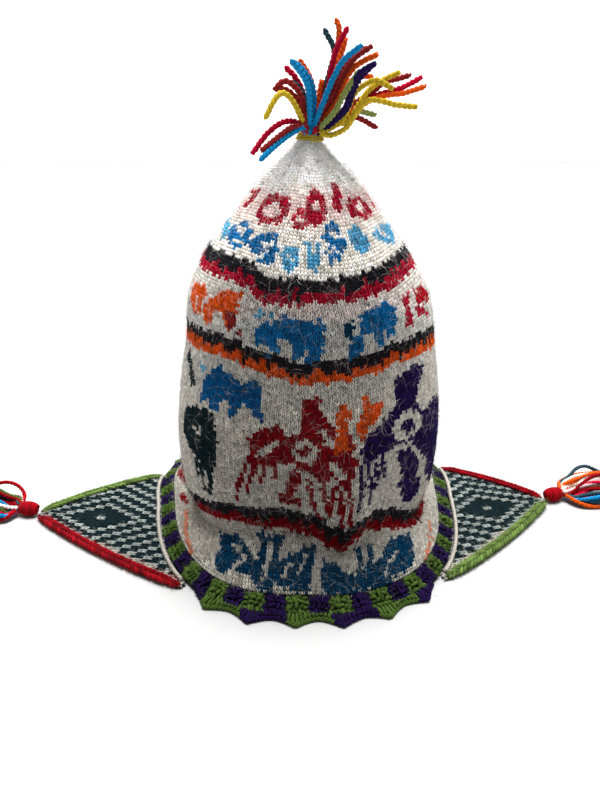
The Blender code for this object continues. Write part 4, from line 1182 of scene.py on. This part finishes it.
def tuftStrands():
    # each strand leaves the tie and passes through the points behind its pixels, going deeper as it rises
    heap = Heap()
    base = np.array(tuft["base"])
    for number, (dye, depth, pixels) in enumerate(tuft["strands"]):
        turn = number * strand["turnStep"]
        root = base + (tuft["root"] * math.cos(turn), tuft["root"] * math.sin(turn), -tuft["rootLow"])
        points = [root, root + (0, 0, tuft["rootUp"])]
        if depth < 0:
            spot = np.interp(pixels[-1][0], tuft["frontTips"], tuft["frontSpots"])
            points = [seen((spot, tuft["frontRow"]), base[1] - tuft["frontOut"])]
        for i, pixel in enumerate(pixels):
            points.append(seen(pixel, base[1] + depth * (i + 1) / len(pixels)))
        layStrand(heap, points, dye, turn, tuft)
    heap.build("tuftStrands", strandYarn, ("top_tuft",))


def makeTie():
    # a strand wound round the gathered tip, its distance from the middle following the crown
    steps = tie["turns"] * tie["steps"]
    share = np.linspace(0, 1, steps)
    ring = crownSurface(share * tie["turns"] * 2 * math.pi, np.interp(share, (0, 1), tie["knit"]))
    axis = np.array((0, crown["place"]))
    out = ring[:, :2] - axis
    plan = axis + out * (1 + (tie["yarn"] + tie["proud"]) / np.linalg.norm(out, axis=1, keepdims=True))
    heap = Heap()
    tubes(heap, raised(plan, np.linspace(*tie["height"], steps))[None], tie["yarn"], linear("mustard"), 6)
    # a core under the winding, yellow at 0.5 as painted shade between the turns
    rings = len(tie["core"])
    core = raised(np.broadcast_to(axis, (rings, 2)), np.linspace(*tie["coreHeight"], rings))
    tubes(heap, core[None], np.array(tie["core"]), linear("yellow") * 0.5, 12)
    heap.build("tieWinding", strandYarn, ("tuft_tie",))


def tasselStrands(word, side):
    # strands fan out of the knot and wander on the floor; later ones lie over the first
    t = tassel
    tip, way, across = flapFrame(side)
    head = tip + way * (flap["knotLength"] / 2)
    names = t[word + "Dyes"]
    part = np.array(t["parts"])
    fade = np.minimum(1, part / t["knotPart"])
    heap = Heap()
    for number in range(t["strands"]):
        spread = -1 + 2 * ((number * t["golden"]) % 1)
        long = t[word] * (t["shortest"] + t["longer"] * rng.random()) - 0.002
        bend = rng.uniform(-t["bend"], t["bend"])
        loop = rng.uniform(-t["loop"], t["loop"])
        layer = (number / t["strands"]) ** t["pileGrowth"]
        turn = number * strand["turnStep"]
        root = t["root"] * math.sqrt((number + 0.5) / t["strands"])
        sway = (spread * t["fanWide"] * part ** t["fan"] + bend * t["bendWide"] * np.sin(math.pi * part)
                + loop * np.sin(t["waves"] * math.pi * part))
        sway = t["spread"] * np.clip(sway, -t["most"], t["most"]) + root * math.cos(turn) * (1 - part)
        low = t["low"] + t["pile"] * layer * np.sin(math.pi * np.minimum(1, part * 1.05 + 0.1))
        z = (flap["knotRadius"] + root * math.sin(turn)) * (1 - fade) + low * fade
        plan = head + way * long * part[:, None] + across * sway[:, None]
        layStrand(heap, raised(plan, np.maximum(z, t["low"])), names[number % len(names)], turn, t)
    heap.build(f"tasselStrands_{word}", strandYarn, (f"tassel_{word}",))


tuftStrands()
makeTie()
for word, side in flapSides:
    tasselStrands(word, side)
print("yarn strands laid")

# Fuzz
fuzz = {
    "hairs": 22000, "length": (0.003, 0.0065), "rise": (0.08, 0.9),
    "long": 3900, "longLength": (0.008, 0.016), "longRise": (0.02, 0.4), "longThin": 0.75,
    "thick": 0.000078, "thickRange": (0.7, 1.2), "curl": 0.7, "sag": 0.3, "lowest": 0.0003, "out": 0.0003,
    # where on the crown: from a share of its rows over a share of them, denser below; paler hairs; dyes
    "from": 0.004, "over": 0.98, "denser": 1.15, "pale": 0.15, "paleShade": 0.6, "shades": (0.9, 1.5),
    "flapHairs": 1800, "flapLength": (0.003, 0.0055), "flapRise": (0.05, 0.3),
    "frontHairs": 742, "backHairs": 433, "edgeLength": (0.003, 0.007), "cordRise": (0.1, 0.7),
    "cordShades": (0.8, 2.0), "rimHairs": 2600, "rimRise": (0.1, 0.6), "rimShades": (0.8, 2.2),
}
needle = np.array(((0, 2, 1), (0, 3, 2), (0, 1, 3), (4, 1, 2), (4, 2, 3), (4, 3, 1)))


def hairs(heap, start, out, far, rise, thick, dye):
    # thin bent needles: a point, a ring of three in the middle and a point, leaving the wool at a low angle
    count = len(start)
    random = unit(rng.normal(0, 1, (count, 3)))
    flat = unit(random - out * (random * out).sum(-1, keepdims=True))
    way = unit(flat + out * rise[:, None])
    side = unit(np.cross(out, way))
    half = far[:, None] * 0.5
    middle = start + way * half
    curl = side * rng.uniform(-fuzz["curl"], fuzz["curl"], (count, 1))
    turned = way + curl - out * fuzz["sag"] * rise[:, None]
    up = np.cross(way, side)
    ring = [middle + (math.cos(a) * side + math.sin(a) * up) * thick[:, None] for a in (0, 2.094, 4.189)]
    points = np.stack([start, *ring, middle + unit(turned) * half], axis=1)
    points[..., 2] = np.maximum(points[..., 2], fuzz["lowest"])
    tris = needle[None] + (np.arange(count) * 5)[:, None, None]
    lay = np.zeros((count, 5, 3))
    lay[..., 2] = rng.random((count, 1))
    heap.add(points, dye[:, None, :], lay, noQuads, tris)


def evenHairs(heap, start, out, length, rise, dye):
    # hairs of one thickness, their lengths and rises drawn between two limits
    count = len(start)
    far = rng.uniform(*length, count)
    hairs(heap, start, np.broadcast_to(out, start.shape), far, rng.uniform(*rise, count),
          np.full(count, fuzz["thick"]), dye)


def crownFuzz():
    # short hairs and a few long ones, scattered over the crown
    f = fuzz
    count = f["hairs"] + f["long"]
    isLong = np.arange(count) >= f["hairs"]
    turn = rng.uniform(-math.pi, math.pi, count)
    row = crown["rows"] * (f["from"] + f["over"] * rng.random(count) ** f["denser"])
    knit = knitAt(row)
    far = np.where(isLong, rng.uniform(*f["longLength"], count), rng.uniform(*f["length"], count))
    rise = np.where(isLong, rng.uniform(*f["longRise"], count), rng.uniform(*f["rise"], count))
    out = crownNormal(turn, knit)
    dye = stitchDye(turn, row)
    pale = (rng.random((count, 1)) < f["pale"]) | isLong[:, None]
    palest = np.maximum(linear("snow") * f["paleShade"], dye)
    dye = np.where(pale, palest, dye * rng.uniform(*f["shades"], (count, 1)))
    thick = f["thick"] * np.where(isLong, f["longThin"], 1.0) * rng.uniform(*f["thickRange"], count)
    heap = Heap()
    hairs(heap, crownSurface(turn, knit) + out * f["out"], out, far, rise, thick, np.minimum(dye, 0.95))
    heap.build("fuzz", fuzzYarn)


def edgeFuzz():
    # on the flaps, their cords and the border
    f = fuzz
    heap = Heap()
    up = np.array((0, 0, 1.0))
    for word, side in flapSides:
        place, row, column, outline = flapStitches(side)
        pick = rng.integers(0, len(place), f["flapHairs"])
        dye = flapDye(place[pick], row[pick], column[pick], side) * 1.2
        evenHairs(heap, raised(place[pick], flap["thick"]), up, f["flapLength"], f["flapRise"], dye)
        for which, colour in cordDyes[side].items():
            count = f[which + "Hairs"]
            line = edgeLine(side, which, 200)
            start, end, bow = edgeEnds(side, which)
            normal = unit(np.array([start[1] - end[1], end[0] - start[0]]))
            on = rng.integers(4, 196, count)
            angle = rng.uniform(0, math.pi, count)
            spot = line[on] + normal * (np.cos(angle) * flap[which + "Width"] * 0.42)[:, None]
            spot = raised(spot, flap[which + "Thick"] * 0.46 * (1 + np.sin(angle)))
            out = raised(normal * np.cos(angle)[:, None], np.sin(angle))
            dye = linear(colour) * rng.uniform(*f["cordShades"], (count, 1))
            evenHairs(heap, spot, out, f["edgeLength"], f["cordRise"], dye)
    length = rng.uniform(0, rimAlong[-1], f["rimHairs"])
    reach, run, pointed = borderReach(length)
    away = rng.uniform(0, 1, f["rimHairs"]) * reach
    dye = np.where((away < border["width"])[:, None], blockDye(run), pointDye(run))
    dye = dye * rng.uniform(*f["rimShades"], (f["rimHairs"], 1))
    start = raised(rimCurve(turnAt(length), away), borderTop(away) + f["out"])
    evenHairs(heap, start, up, f["edgeLength"], f["rimRise"], dye)
    heap.build("fuzzEdge", fuzzYarn)


crownFuzz()
edgeFuzz()
print("fuzz grown")

# Floor and light. The floor is flat, then bends up as a quarter circle into a wall behind
studio = {
    "half": 9.0, "near": -7.0, "bendAt": 2.4, "bend": 1.0, "top": 5.0, "white": 0.52, "glow": 1.02,
    "world": 0.16, "sun": 6.6, "soft": 42, "lean": (-9, 4),
}


def makeStudio():
    s = studio
    quarter = np.linspace(0, math.pi / 2, 25)
    bend = np.stack([s["bendAt"] + s["bend"] * np.sin(quarter), s["bend"] * (1 - np.cos(quarter))], -1)
    profile = np.concatenate([[(s["near"], 0)], bend, [(s["bendAt"] + s["bend"], s["top"])]])
    sheet = np.stack([np.insert(profile, 0, x, axis=1) for x in (-s["half"], s["half"])], 1)
    for name, first, last in (("floor", 0, 2), ("backdrop", 1, len(profile))):
        rows = sheet[first:last]
        k = np.arange(len(rows) - 1) * 2
        mesh = bpy.data.meshes.new(name)
        mesh.from_pydata(rows.reshape(-1, 3).tolist(), [], np.stack([k, k + 1, k + 3, k + 2], -1).tolist())
        mesh.shade_smooth()
        paper = Graph(name + "Paper", 0.9)
        paper.shader.inputs["Base Color"].default_value = (s["white"], s["white"], s["white"], 1)
        if name == "backdrop":
            paper.shader.inputs["Emission Color"].default_value = (1, 1, 1, 1)
            paper.shader.inputs["Emission Strength"].default_value = s["glow"]
        mesh.materials.append(paper.material)
        plane = bpy.data.objects.new(name, mesh)
        bpy.context.scene.collection.objects.link(plane)
    world = bpy.data.worlds.new("studio")
    world.use_nodes = True
    world.node_tree.nodes["Background"].inputs["Color"].default_value = (1, 1, 1, 1)
    world.node_tree.nodes["Background"].inputs["Strength"].default_value = s["world"]
    bpy.context.scene.world = world
    sun = bpy.data.objects.new("sun", bpy.data.lights.new("sun", "SUN"))
    sun.data.energy = s["sun"]
    sun.data.angle = math.radians(s["soft"])
    sun.rotation_euler = [math.radians(angle) for angle in s["lean"]] + [0]
    bpy.context.scene.collection.objects.link(sun)
    bpy.context.scene.view_settings.view_transform = "Standard"


makeStudio()
print("floor and light set")
